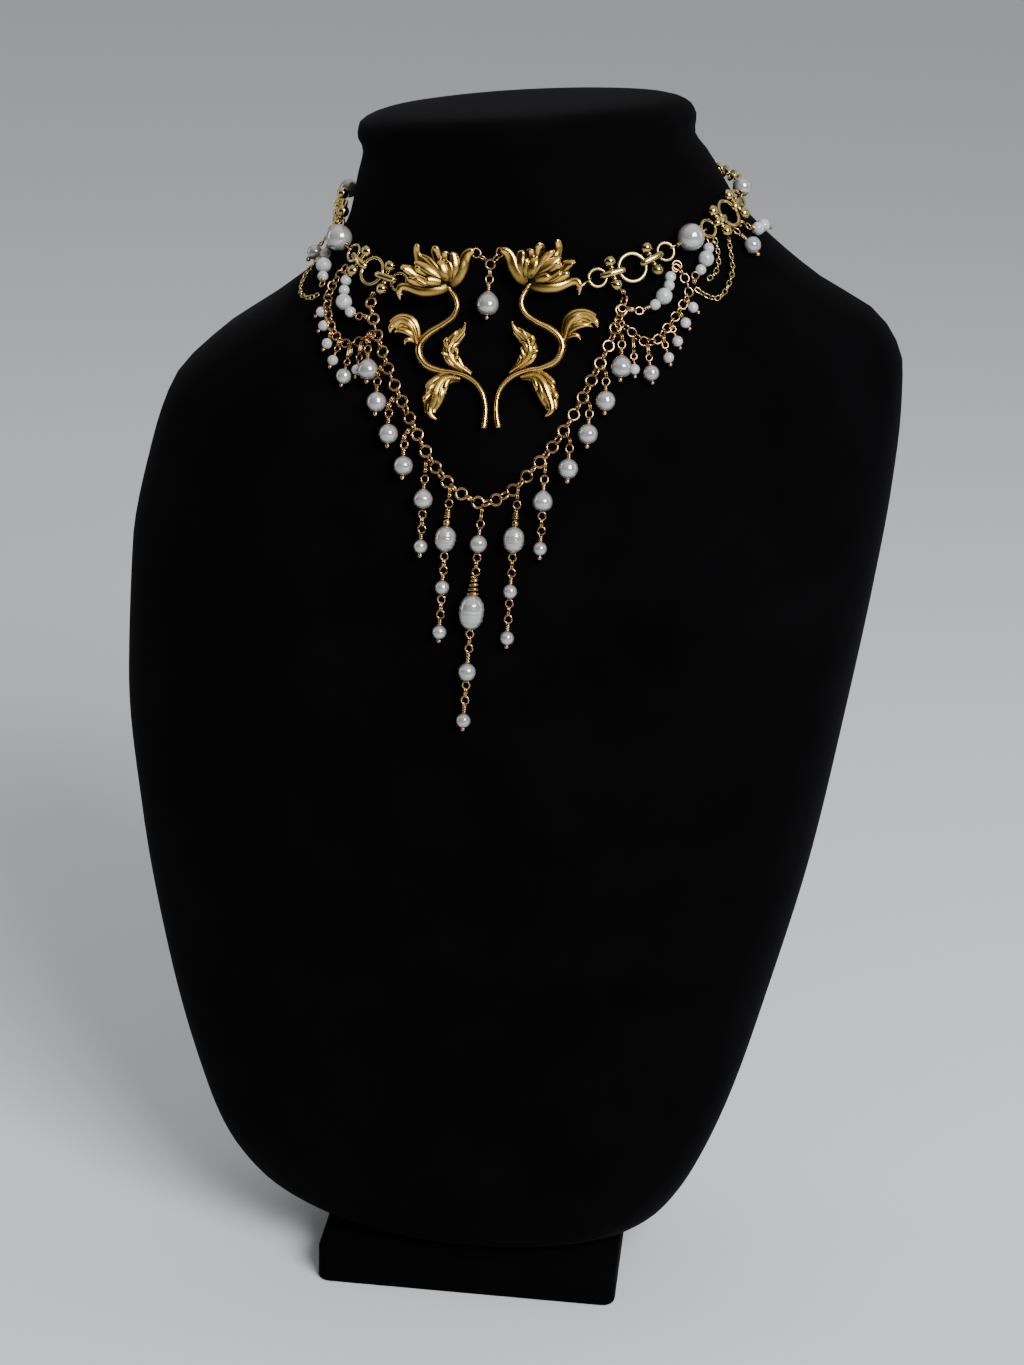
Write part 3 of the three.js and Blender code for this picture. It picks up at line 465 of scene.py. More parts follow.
# %% Tubes along a route
def through(points, step):
    """Points about step apart on a smooth curve through the given ones."""
    rows = [points[0] * 2 - points[1], *points, points[-1] * 2 - points[-2]]
    curve = []

    def blend(a, b, t, t_a, t_b):
        return a + (b - a) * ((t - t_a) / (t_b - t_a))

    for p in zip(rows, rows[1:], rows[2:], rows[3:]):
        t = [0.0]
        for a, b in zip(p, p[1:]):
            t.append(t[-1] + max((b - a).length, 1e-6) ** 0.5)
        count = max(1, round((p[2] - p[1]).length / step))
        for i in range(count):
            u = t[1] + (t[2] - t[1]) * i / count
            a = [blend(p[k], p[k + 1], u, t[k], t[k + 1]) for k in range(3)]
            b = [blend(a[k], a[k + 1], u, t[k], t[k + 2]) for k in range(2)]
            curve.append(blend(b[0], b[1], u, t[1], t[2]))
    curve.append(points[-1].copy())
    return curve


def walk(curve, distances):
    """(point, direction) at each distance along a run of points."""
    found, gone, i = [], 0.0, 0
    for distance in distances:
        while i < len(curve) - 2 and gone + (curve[i + 1] - curve[i]).length < distance:
            gone += (curve[i + 1] - curve[i]).length
            i += 1
        direction = (curve[i + 1] - curve[i]).normalized()
        found.append((curve[i] + direction * (distance - gone), direction))
    return found


def length_of(curve):
    return sum((b - a).length for a, b in zip(curve, curve[1:]))


def add_tube(bm, curve, widths, sides=8, material=0, flat=1.0, out=None):
    """Wire along a run of points: a circle extruded from each point to the next."""
    out = out or Vector((0, -1, 0))
    rim = bmesh.ops.create_circle(bm, segments=sides, radius=0.5, cap_ends=True)["verts"]
    faces_before = set(bm.faces) - set(rim[0].link_faces)
    before = Matrix.Identity(4)
    edges = list(rim[0].link_faces[0].edges)
    for i, point in enumerate(curve):
        direction = curve[min(i + 1, len(curve) - 1)] - curve[max(i - 1, 0)]
        width = widths[i] if isinstance(widths, (list, tuple)) else widths
        now = place(point, direction, out) @ Matrix.Diagonal((width, width * flat, 1, 1))
        if i > 0:
            grown = bmesh.ops.extrude_edge_only(bm, edges=edges)["geom"]
            rim = [g for g in grown if isinstance(g, bmesh.types.BMVert)]
            edges = [
                g for g in grown
                if isinstance(g, bmesh.types.BMEdge) and g.verts[0] in rim and g.verts[1] in rim
            ]
        bmesh.ops.transform(bm, matrix=now @ before.inverted(), verts=rim)
        before = now
    bmesh.ops.holes_fill(bm, edges=edges, sides=sides)
    new_faces = [face for face in bm.faces if face not in faces_before]
    bmesh.ops.recalc_face_normals(bm, faces=new_faces)
    for face in new_faces:
        face.material_index = material

# %% [markdown]
# ## Finishes
# Three golds, two whites and a black. The golds share one effect: the metal turns brown in slow
# patches of tarnish, and on the flowers also where shade is painted in, at the edges and roots of
# the petals, on the stem's flat beside its ridge and on the dome under the bloom. That effect is a
# node group, with its own values in each gold. It reads the painted shade from an attribute that
# the flowers carry, and the tarnish from a slow noise. Baking it into an image would be sharper,
# but nodes need no files and never stretch.

# %% Node helpers
def group_sockets(group, inputs, outputs):
    for name, kind, value in inputs:
        socket = group.interface.new_socket(name=name, in_out="INPUT", socket_type=kind)
        if value is not None:
            socket.default_value = value
    for name, kind in outputs:
        group.interface.new_socket(name=name, in_out="OUTPUT", socket_type=kind)
    return group.nodes.new("NodeGroupInput"), group.nodes.new("NodeGroupOutput")


def noise_node(tree, scale, detail):
    """A noise on Object coordinates, with scale in features a metre."""
    node = tree.nodes.new("ShaderNodeTexNoise")
    set_inputs(node, {"Scale": scale, "Detail": detail})
    coordinates = tree.nodes.new("ShaderNodeTexCoord")
    tree.links.new(coordinates.outputs["Object"], node.inputs["Vector"])
    return node.outputs["Fac"]


def map_range(tree, source, low, high, to_low, to_high):
    node = tree.nodes.new("ShaderNodeMapRange")
    tree.links.new(source, node.inputs["Value"])
    set_inputs(node, dict(zip(RANGE_INPUTS, (low, high, to_low, to_high))))
    return node.outputs["Result"]


def mix_color(tree, factor, a, b):
    node = tree.nodes.new("ShaderNodeMix")
    node.data_type = "RGBA"
    sockets = [s for s in node.inputs if s.type == "RGBA"]
    for socket, value in zip(sockets, (a, b)):
        if isinstance(value, tuple):
            socket.default_value = (*value, 1)
        else:
            tree.links.new(value, socket)
    tree.links.new(factor, node.inputs["Factor"])
    return next(s for s in node.outputs if s.type == "RGBA")


def math_node(tree, operation, a, b):
    node = tree.nodes.new("ShaderNodeMath")
    node.operation = operation
    node.use_clamp = True
    tree.links.new(a, node.inputs[0])
    tree.links.new(b, node.inputs[1])
    return node.outputs[0]


def add_bump(tree, shader, height, strength, distance):
    """Fine relief on a finish, with its distance in metres."""
    relief = tree.nodes.new("ShaderNodeBump")
    set_inputs(relief, {"Strength": strength, "Distance": distance})
    tree.links.new(height, relief.inputs["Height"])
    tree.links.new(relief.outputs["Normal"], shader.inputs["Normal"])


def new_material(name):
    material = bpy.data.materials.new(name)
    material.use_nodes = True
    return material, material.node_tree, material.node_tree.nodes["Principled BSDF"]


# %% The worn gold group, with tarnish and painted shade
worn_and_shaded_gold = bpy.data.node_groups.new("worn_and_shaded_gold", "ShaderNodeTree")
goes_in, goes_out = group_sockets(
    worn_and_shaded_gold,
    [("Bright", "NodeSocketColor", None), ("Tarnish", "NodeSocketColor", None),
     ("Tarnish Amount", "NodeSocketFloat", 0.4), ("Smooth", "NodeSocketFloat", 0.2),
     ("Rough", "NodeSocketFloat", 0.45)],
    [("Color", "NodeSocketColor"), ("Roughness", "NodeSocketFloat"), ("Height", "NodeSocketFloat")],
)
# Painted shade, read from an attribute the flowers carry; the noise below gives real tarnish.
painted_shade = worn_and_shaded_gold.nodes.new("ShaderNodeAttribute")
painted_shade.attribute_name = "painted_shade"
cloud = noise_node(worn_and_shaded_gold, 110, 2)
speck = noise_node(worn_and_shaded_gold, 1900, 3)
cloudy = map_range(worn_and_shaded_gold, cloud, 0.42, 0.75, 0.0, 1.0)
patches = math_node(worn_and_shaded_gold, "MULTIPLY", cloudy, goes_in.outputs["Tarnish Amount"])
# The mask joins tarnish patches and painted shade; both pull Bright towards Tarnish.
tarnish_and_shade_mask = math_node(worn_and_shaded_gold, "MAXIMUM", painted_shade.outputs["Fac"], patches)
color = mix_color(worn_and_shaded_gold, tarnish_and_shade_mask, goes_in.outputs["Bright"], goes_in.outputs["Tarnish"])
rough = worn_and_shaded_gold.nodes.new("ShaderNodeMapRange")
worn_and_shaded_gold.links.new(tarnish_and_shade_mask, rough.inputs["Value"])
worn_and_shaded_gold.links.new(goes_in.outputs["Smooth"], rough.inputs["To Min"])
worn_and_shaded_gold.links.new(goes_in.outputs["Rough"], rough.inputs["To Max"])
worn_and_shaded_gold.links.new(color, goes_out.inputs["Color"])
worn_and_shaded_gold.links.new(rough.outputs["Result"], goes_out.inputs["Roughness"])
worn_and_shaded_gold.links.new(speck, goes_out.inputs["Height"])


def gold_material(name, bright, tarnish_and_shade_color, amount, smooth, rough_value, bump):
    material, tree, shader = new_material(name)
    finish_group = tree.nodes.new("ShaderNodeGroup")
    finish_group.node_tree = worn_and_shaded_gold
    set_inputs(shader, {"Metallic": 1.0})
    set_inputs(finish_group, {
        "Bright": (*bright, 1), "Tarnish": (*tarnish_and_shade_color, 1), "Tarnish Amount": amount,
        "Smooth": smooth, "Rough": rough_value,
    })
    tree.links.new(finish_group.outputs["Color"], shader.inputs["Base Color"])
    tree.links.new(finish_group.outputs["Roughness"], shader.inputs["Roughness"])
    add_bump(tree, shader, finish_group.outputs["Height"], bump, 0.00005)
    return material


# The brass's dark colour is mostly that of the painted shade on the flowers, tarnish being slight.
ANTIQUE_BRASS = gold_material(
    "antique_brass", (0.68, 0.43, 0.105), (0.012, 0.006, 0.002), 0.08, 0.19, 0.42, 0.05)
PALE_GOLD = gold_material("pale_gold", (0.50, 0.39, 0.14), (0.05, 0.03, 0.009), 0.50, 0.09, 0.34, 0.06)
WARM_GOLD = gold_material("warm_gold", (0.48, 0.30, 0.12), (0.05, 0.022, 0.007), 0.60, 0.09, 0.34, 0.06)
print("golds:", ANTIQUE_BRASS.name, PALE_GOLD.name, WARM_GOLD.name)

# %% [markdown]
# Pearl is a stack of clear layers, so its colour shifts a little towards pink and green at the
# edges, over a grey-white body. A thin-film shader could do this exactly, but the effect here is
# so faint that mixing two tints by the Layer Weight node is enough. The two tints are also darker
# than the body, so the same mix paints shade onto the rim. Its layers also reflect more than one
# clear surface would, so the pearl is made part metallic. The milky beads are softer: light goes a
# little way into them, which subsurface scattering gives.

# %% Pearl and milky glass
PEARL, tree, shader = new_material("pearl")
cloud = map_range(tree, noise_node(tree, 300, 2), 0.35, 0.7, 0.0, 1.0)
body = mix_color(tree, cloud, (0.27, 0.27, 0.265), (0.36, 0.353, 0.345))
facing = tree.nodes.new("ShaderNodeLayerWeight")
set_inputs(facing, {"Blend": 0.35})
# The rim takes faint pink and green tints, darker than the body, so it is also painted shade.
rim = map_range(tree, facing.outputs["Facing"], 0.05, 0.75, 0.0, 0.9)
patches = map_range(tree, noise_node(tree, 160, 2), 0.4, 0.6, 0.0, 1.0)
edge_tint_and_shade = mix_color(tree, patches, (0.22, 0.15, 0.17), (0.13, 0.18, 0.17))
tree.links.new(mix_color(tree, rim, body, edge_tint_and_shade), shader.inputs["Base Color"])
set_inputs(shader, {
    "Metallic": 0.38, "Roughness": 0.14, "Coat Weight": 1.0, "Coat IOR": 1.8, "Coat Roughness": 0.06,
})
add_bump(tree, shader, noise_node(tree, 700, 2), 0.15, 0.0001)

MILKY, tree, shader = new_material("milk_glass")
cloud = map_range(tree, noise_node(tree, 600, 3), 0.35, 0.7, 0.0, 1.0)
milk = mix_color(tree, cloud, (0.28, 0.292, 0.30), (0.43, 0.437, 0.44))
tree.links.new(milk, shader.inputs["Base Color"])
set_inputs(shader, {
    "Roughness": 0.16, "Subsurface Weight": 0.6, "Subsurface Radius": (0.0014, 0.0014, 0.0015),
    "Coat Weight": 0.6, "Coat Roughness": 0.05,
})
print("whites:", PEARL.name, MILKY.name)

# %% [markdown]
# Velvet is black because light falls between its fibres, and pale at grazing angles because the
# fibre tips catch it. The Principled shader's sheen layer is made for that. The nap also lies
# this way and that in soft patches, which a slow noise in the colour and a fine one in the bump
# suggest.

# %% Velvet
VELVET, tree, shader = new_material("black_velvet")
nap = map_range(tree, noise_node(tree, 34, 4), 0.35, 0.7, 0.0, 1.0)
black = mix_color(tree, nap, (0.0006, 0.0006, 0.0008), (0.0014, 0.0013, 0.0016))
tree.links.new(black, shader.inputs["Base Color"])
set_inputs(shader, {
    "Roughness": 0.95, "Specular IOR Level": 0.02, "Sheen Weight": 0.014, "Sheen Roughness": 0.35,
    "Sheen Tint": (0.75, 0.75, 0.85, 1),
})
add_bump(tree, shader, noise_node(tree, 2600, 2), 0.35, 0.0003)
print("black:", VELVET.name)

# %% [markdown]
# ## The neck bust
# A shop bust is a moulded shell with velvet pulled over it, glued round its lower edge and under
# a disc on top of the neck. Its shape is a loft of the level sections. Subdividing a rough cage
# would be quicker, but then the choker would not lie exactly on it. So a circle is extruded up
# from section to section, and each new rim is laid on its section.

# %% The velvet form
FORM_SIDES = 112
FORM_RINGS = 96
TOP_TILT = math.radians(5.2)
TILT_FROM, TILT_FULL = 335, 350


def tilt_at(z):
    t = min(max((z - TILT_FROM) / (TILT_FULL - TILT_FROM), 0), 1)
    return t * t * (3 - 2 * t) * math.tan(TOP_TILT)


def on_section(angle, z, grow=0.0):
    """The point of the form's skin at height z and at an angle of its own super-ellipse."""
    s = section_at(z)
    c, d = math.cos(angle), math.sin(angle)
    power = 2 / (s["square_front"] if d < 0 else s["square_back"])
    x = math.copysign(abs(c) ** power, c) * ((s["right"] if c > 0 else s["left"]) + grow)
    depth = s["middle"] - s["front"] if d < 0 else s["back"] - s["middle"]
    y = s["middle"] + math.copysign(abs(d) ** power, d) * (depth + grow)
    return Vector((x, y, z + x * tilt_at(z)))


low, high = SECTIONS[0]["z"], SECTIONS[-1]["z"]
shares = [0.5 - 0.5 * math.cos(math.pi * i / FORM_RINGS) for i in range(FORM_RINGS + 1)]
heights = [low + (high - low) * share for share in shares]
angles = [2 * math.pi * i / FORM_SIDES for i in range(FORM_SIDES)]

bm = bmesh.new()
rim = bmesh.ops.create_circle(bm, segments=FORM_SIDES, radius=1, cap_ends=True)["verts"]
rim.sort(key=lambda v: math.atan2(v.co.y, v.co.x) % (2 * math.pi))
edges = list(rim[0].link_faces[0].edges)
for v, angle in zip(rim, angles):
    v.co = on_section(angle, heights[0])
for z in heights[1:]:
    geom = bmesh.ops.extrude_edge_only(bm, edges=edges)["geom"]
    grown = set(geom)
    rim = [next(n for n in (e.other_vert(v) for e in v.link_edges) if n in grown) for v in rim]
    edges = [g for g in geom if isinstance(g, bmesh.types.BMEdge) and set(g.verts) <= set(rim)]
    for v, angle in zip(rim, angles):
        v.co = on_section(angle, z)
bmesh.ops.holes_fill(bm, edges=edges, sides=FORM_SIDES)
bmesh.ops.recalc_face_normals(bm, faces=bm.faces)
form = finish("velvet_form", bm, [VELVET], ["bust_form"])
print("velvet form:", len(form.data.polygons), "faces")

# %% Foot and seams
FOOT = {"width": 94, "front": -41, "back": 45, "height": 12, "corner": 4, "edge": 1}

bm = bmesh.new()
bmesh.ops.create_cube(bm, size=1)
bmesh.ops.scale(bm, vec=(FOOT["width"], FOOT["back"] - FOOT["front"], FOOT["height"]), verts=bm.verts)
bmesh.ops.translate(bm, vec=(0, (FOOT["front"] + FOOT["back"]) / 2, FOOT["height"] / 2), verts=bm.verts)
# The four uprights are rounded first, then every level edge.
for upright, offset, segments in ((True, FOOT["corner"], 5), (False, FOOT["edge"], 3)):
    chosen = [e for e in bm.edges if (abs(e.verts[0].co.z - e.verts[1].co.z) > 1) == upright]
    bmesh.ops.bevel(
        bm, geom=chosen, offset=offset, offset_type="OFFSET", segments=segments, profile=0.5,
        material=-1, affect="EDGES",
    )
finish("velvet_foot", bm, [VELVET], ["bust_foot"])

SEAM_STEPS = 120
bm = bmesh.new()
# height, how far it stands off the form, width of its cord
for z, grow, width in ((13.2, 0.1, 1.1), (351.6, -0.15, 0.8)):
    curve = [on_section(2 * math.pi * i / SEAM_STEPS, z, grow) for i in range(SEAM_STEPS + 1)]
    add_tube(bm, curve, width, sides=6, out=Vector((0, 0, 1)))
finish("velvet_seams", bm, [VELVET], [])
print("foot is", FOOT["width"], "mm wide")

# %% [markdown]
# ## The stamped flowers
# Each flower is one thin brass stamping: an S-shaped stem, three acanthus leaves and an open
# bloom of fifteen curled petals. It could be sculpted by hand, or carved from a height map. Here
# every petal is a small sheet of its own that follows a rib from the base of the bloom to its
# tip, wide where the petal is wide, because then the petals overlap and throw real shadows as
# the stamped ones do. The grid operator makes each sheet, solidify makes it metal, and the same
# loop paints shade on each point, darker towards the sheet's edges and its root.

# %% The flowers' plane
CHOKER_TILT = math.radians(4.8)
FLOWER_ORIGIN = Vector((-0.7, -45.5, 305))
FLOWER_LEAN = math.radians(19)
FLOWER_YAW = math.radians(5)
SIDES = (-1, 1)


def side_name(side):
    return "right" if side > 0 else "left"


def flower_matrix(side):
    """From a flower's own plane (u right, v up, h out) to the neck. side is 1 right, -1 left."""
    up_lean = Vector((0, math.sin(FLOWER_LEAN), math.cos(FLOWER_LEAN)))
    x = Vector((1, 0, 0)) * math.cos(CHOKER_TILT) + up_lean * math.sin(CHOKER_TILT)
    y = up_lean * math.cos(CHOKER_TILT) - Vector((1, 0, 0)) * math.sin(CHOKER_TILT)
    plane = Matrix((x, y, x.cross(y))).transposed().to_4x4()
    plane.translation = FLOWER_ORIGIN
    return plane @ Matrix.Rotation(side * FLOWER_YAW, 4, "Y") @ Matrix.Diagonal((side, 1, 1, 1))


FLOWER_PLANE = {side: flower_matrix(side) for side in SIDES}

# %% Petals and leaf lobes
# Each: how it leans across, then rows of (u, v, half width, height out of the plane), base to tip.
# A conversion program wrote these rows from measured places and widths. Rows chosen by hand, with
# a curve between them, would be fewer and easier to read.
PETALS = {
    "bottom": (-0.25, [(11.2, 14.3, 1.2, 0.6), (13.1, 13.3, 1.3, 1.6), (15.6, 12.8, 1.3, 2.2),
        (18.5, 12.9, 1.2, 2.3), (21.1, 13.8, 1.0, 2.0), (23.0, 14.4, 0.9, 2.0), (24.2, 14.2, 0.8, 2.2),
        (24.7, 12.8, 0.6, 2.0), (24.6, 11.0, 0.1, 1.2)]),
    "far": (0.3, [(10.4, 14.3, 1.0, 0.8), (8.5, 15.9, 1.4, 1.4), (6.9, 18.6, 1.3, 1.9),
        (6.1, 21.1, 1.2, 2.2), (5.1, 22.6, 1.0, 2.6), (4.0, 23.0, 0.8, 2.8), (3.3, 22.9, 0.4, 2.6)]),
    "back_a": (0.2, [(11.5, 18.3, 1.0, 0.6), (11.5, 20.5, 1.2, 1.2), (11.5, 22.1, 1.1, 1.7),
        (11.5, 23.2, 0.8, 2.4), (11.6, 23.7, 0.2, 2.4)]),
    "back_b": (-0.3, [(13.0, 18.9, 1.1, 0.6), (13.4, 20.7, 1.2, 1.2), (14.0, 22.5, 1.2, 1.9),
        (14.2, 23.9, 1.1, 2.8), (14.2, 24.8, 0.6, 3.3), (14.2, 25.2, 0.2, 3.0)]),
    "finger": (-0.35, [(14.8, 17.3, 0.8, 1.6), (17.0, 19.2, 1.2, 2.2), (18.5, 21.0, 1.2, 2.5),
        (19.1, 22.4, 0.9, 2.8), (19.3, 23.8, 0.8, 3.2), (19.1, 24.9, 0.7, 3.9), (19.0, 25.6, 0.3, 4.2)]),
    "narrow": (0.35, [(10.4, 15.1, 0.8, 1.4), (9.3, 17.0, 0.9, 2.3), (8.6, 19.1, 1.1, 2.7),
        (8.7, 21.1, 1.1, 2.9), (9.0, 22.6, 0.8, 3.3), (9.1, 23.3, 0.2, 3.2)]),
    "small": (-0.2, [(10.4, 15.8, 0.6, 2.2), (10.1, 17.6, 0.8, 2.8), (10.3, 19.2, 0.9, 3.1),
        (10.5, 20.3, 0.6, 3.4), (10.5, 20.8, 0.2, 3.3)]),
    "middle": (0.3, [(11.5, 15.2, 0.8, 2.0), (11.5, 16.9, 1.2, 2.8), (11.9, 18.5, 1.3, 3.2),
        (12.5, 20.2, 1.2, 3.2), (12.9, 21.1, 0.7, 2.9), (13.1, 21.5, 0.2, 2.6)]),
    "long": (-0.4, [(11.8, 15.5, 0.7, 2.6), (13.2, 17.5, 0.9, 3.2), (14.7, 19.3, 1.0, 3.5),
        (16.1, 21.0, 0.9, 3.7), (17.5, 22.2, 0.5, 4.0), (18.0, 22.8, 0.2, 3.8)]),
    "broad": (0.25, [(12.7, 15.9, 0.6, 2.8), (14.6, 17.6, 1.1, 3.5), (16.3, 18.8, 1.2, 3.9),
        (17.8, 19.7, 1.0, 4.1), (19.3, 20.5, 0.6, 4.1), (19.9, 20.7, 0.2, 4.0)]),
    "tuft": (-0.35, [(15.5, 16.3, 0.8, 2.4), (17.6, 17.6, 1.0, 3.2), (18.8, 18.3, 1.0, 3.9),
        (19.1, 19.3, 0.7, 4.3), (19.2, 19.9, 0.2, 4.3)]),
    "right": (0.35, [(15.6, 15.1, 0.8, 2.0), (18.6, 16.8, 1.1, 2.8), (20.5, 18.1, 1.2, 3.3),
        (21.7, 18.9, 1.1, 4.0), (23.0, 19.3, 0.7, 4.5), (23.7, 18.9, 0.3, 4.0)]),
    "wedge": (-0.3, [(14.8, 14.3, 0.7, 2.6), (17.3, 14.8, 0.9, 3.2), (19.6, 15.4, 1.0, 3.6),
        (21.3, 16.1, 0.7, 4.1), (21.9, 16.7, 0.2, 4.1)]),
    "dart": (0.3, [(14.4, 14.5, 0.7, 3.2), (16.5, 14.8, 0.8, 3.9), (18.1, 15.5, 0.8, 4.3),
        (19.3, 16.4, 0.6, 4.6), (19.7, 16.9, 0.2, 4.4)]),
    "cup": (-0.2, [(12.5, 14.8, 0.8, 2.8), (14.6, 15.2, 1.1, 3.8), (15.9, 15.3, 1.0, 4.5),
        (16.7, 15.5, 0.4, 4.6), (17.0, 15.7, 0.1, 4.3)]),
}
LOBES = {
    "up_body": (0.0, [(5.2, -10.0, 0.4, 0.3), (6.6, -9.0, 0.5, 0.6), (8.5, -7.7, 0.9, 0.9),
        (10.1, -6.0, 1.2, 1.3), (10.8, -4.2, 1.3, 1.6), (10.7, -2.4, 1.2, 1.7), (9.8, -0.8, 1.1, 1.6),
        (8.5, 0.4, 0.9, 1.6), (7.1, 1.6, 0.7, 1.8), (6.5, 2.6, 0.4, 2.2), (6.2, 3.8, 0.2, 2.6)]),
    "up_right_a": (-0.3, [(7.7, -9.1, 0.4, 0.7), (9.5, -8.0, 0.5, 0.9), (10.7, -7.2, 0.7, 1.2),
        (11.7, -6.1, 0.8, 1.3), (12.2, -5.2, 0.7, 1.2), (12.4, -4.5, 0.2, 1.0)]),
    "up_right_b": (0.3, [(10.8, -5.3, 0.4, 1.6), (11.6, -4.6, 0.6, 2.0), (12.4, -4.3, 0.6, 2.4),
        (13.1, -4.2, 0.2, 2.4)]),
    "up_right_c": (-0.3, [(10.8, -3.6, 0.5, 1.9), (11.5, -2.5, 0.8, 2.3), (11.8, -1.4, 0.8, 2.6),
        (11.5, -0.4, 0.6, 2.8), (11.2, -0.0, 0.2, 2.6)]),
    "up_right_d": (0.3, [(10.4, -2.0, 0.4, 1.8), (9.9, -0.7, 0.7, 2.1), (9.3, 0.4, 0.7, 2.3),
        (8.8, 1.3, 0.5, 2.3), (8.3, 1.6, 0.2, 2.0)]),
    "up_left_a": (0.3, [(6.8, -9.0, 0.3, 0.7), (7.4, -7.7, 0.5, 1.0), (8.1, -6.5, 0.6, 1.2),
        (8.3, -5.7, 0.4, 1.4), (8.3, -5.2, 0.2, 1.3)]),
    "up_left_b": (-0.3, [(9.1, -7.2, 0.4, 1.4), (9.4, -5.7, 0.6, 1.8), (9.0, -4.6, 0.6, 2.0),
        (8.7, -3.6, 0.4, 2.0), (8.6, -3.1, 0.2, 1.8)]),
    "up_left_c": (0.3, [(10.2, -5.0, 0.4, 1.9), (9.9, -3.4, 0.7, 2.3), (9.3, -2.3, 0.6, 2.3),
        (8.6, -1.8, 0.3, 2.1), (8.1, -1.7, 0.2, 1.8)]),
    "low_body": (0.0, [(8.2, -11.3, 0.5, 0.6), (10.7, -10.8, 1.0, 0.9), (12.9, -11.4, 1.4, 1.3),
        (14.4, -13.2, 1.6, 1.6), (15.2, -15.2, 1.7, 1.7), (15.9, -17.2, 1.5, 1.7),
        (16.5, -19.0, 1.2, 1.8), (16.6, -20.4, 0.9, 2.0), (15.8, -21.5, 0.6, 2.1),
        (14.7, -22.2, 0.2, 1.9)]),
    "low_right_a": (0.3, [(13.4, -10.2, 0.6, 1.0), (14.9, -10.9, 0.9, 1.4), (16.3, -12.0, 0.9, 1.8),
        (17.2, -12.8, 0.6, 2.2), (17.6, -13.5, 0.2, 2.2)]),
    "low_right_b": (-0.3, [(14.9, -12.5, 0.6, 1.6), (15.9, -13.3, 0.9, 2.0), (16.7, -14.3, 0.9, 2.2),
        (17.2, -15.1, 0.5, 2.3), (17.3, -15.6, 0.2, 2.1)]),
    "low_right_c": (0.3, [(16.1, -15.0, 0.6, 1.8), (17.1, -15.6, 0.9, 2.2), (17.8, -16.4, 0.9, 2.5),
        (18.1, -17.1, 0.5, 2.6), (18.1, -17.6, 0.2, 2.4)]),
    "low_left_a": (-0.3, [(9.7, -10.1, 0.4, 0.8), (10.8, -11.0, 0.5, 1.0), (11.7, -12.1, 0.7, 1.3),
        (12.3, -13.7, 0.8, 1.4), (12.5, -14.8, 0.5, 1.3), (12.1, -15.4, 0.2, 1.0)]),
    "low_left_b": (0.3, [(12.7, -11.7, 0.5, 1.5), (13.7, -13.7, 0.8, 1.9), (14.2, -15.5, 0.8, 1.9),
        (14.3, -16.9, 0.6, 1.7), (14.1, -18.3, 0.2, 1.3)]),
    "outer_band": (-0.25, [(20.2, -1.6, 0.5, 0.3), (20.7, -0.2, 0.7, 0.7), (21.1, 1.6, 1.0, 1.0),
        (22.0, 3.4, 1.3, 1.4), (23.3, 4.6, 1.4, 1.7), (25.1, 5.2, 1.2, 1.8), (26.8, 4.9, 1.1, 2.0),
        (28.3, 4.0, 1.0, 2.3), (29.1, 2.9, 0.7, 2.6), (29.3, 1.8, 0.2, 2.3)]),
    "outer_middle": (0.3, [(21.3, -0.3, 0.5, 0.7), (22.2, 1.3, 1.0, 1.2), (23.6, 2.3, 1.2, 1.5),
        (25.2, 2.7, 1.1, 1.7), (26.6, 2.7, 0.8, 1.8), (28.0, 2.1, 0.2, 1.5)]),
    "outer_low": (0.25, [(20.9, -0.9, 0.4, 0.4), (21.9, -0.3, 0.7, 0.9), (23.0, 0.1, 0.9, 1.3),
        (24.0, -0.2, 0.7, 1.5), (24.5, -0.8, 0.4, 1.4), (24.7, -1.4, 0.1, 1.2)]),
}
SHEET = 0.5


def add_sheet(bm, lean, table, crown, bright=0.62):
    """One curled sheet, its rows smoothed together as one curve, with painted shade beyond bright and at
    its root.
    """
    rows = through([Vector((u, v, height, half)) for u, v, half, height in table], 0.35)
    sheet = bmesh.ops.create_grid(bm, x_segments=10, y_segments=len(rows) - 1, size=1)["verts"]
    depth = bm.verts.layers.float["painted_shade"]
    for v in sheet:
        s, along = v.co.x, (v.co.y + 1) / 2
        i = round(along * (len(rows) - 1))
        spot, half = rows[i], max(rows[i].w, 0.08)
        way = rows[min(i + 1, len(rows) - 1)] - rows[max(i - 1, 0)]
        right = Vector((way.y, -way.x, 0)).normalized() * half
        rise = half * (crown * (1 - abs(s) ** 2.4) + lean * s)
        # Painted shade: none within bright, deepening to the edges, and more towards the root.
        v[depth] = min(max(2.6 * (abs(s) - bright), 0) + 0.9 * (1 - along) ** 2, 1)
        v.co = Vector((spot.x, spot.y, spot.z + rise)) + right * s
    faces = list({face for v in sheet for face in v.link_faces})
    bmesh.ops.recalc_face_normals(bm, faces=faces)
    if sum(face.normal.z for face in faces) < 0:
        bmesh.ops.reverse_faces(bm, faces=faces)
    bmesh.ops.solidify(bm, geom=faces, thickness=SHEET)


# %% One flower
STEM_ROUTE = [
    (10.9, 13.6), (9.3, 11), (8.8, 8.6), (10.2, 5.8), (13.2, 3.6), (16.6, 1.8), (19, -0.4),
    (19.8, -3.4), (18, -6.9), (14.4, -8.7), (10.2, -9.4), (6.6, -10.6), (3.9, -12.7), (2.2, -15.4),
    (1.5, -18.6), (1.5, -21.6), (2, -24.9),
]
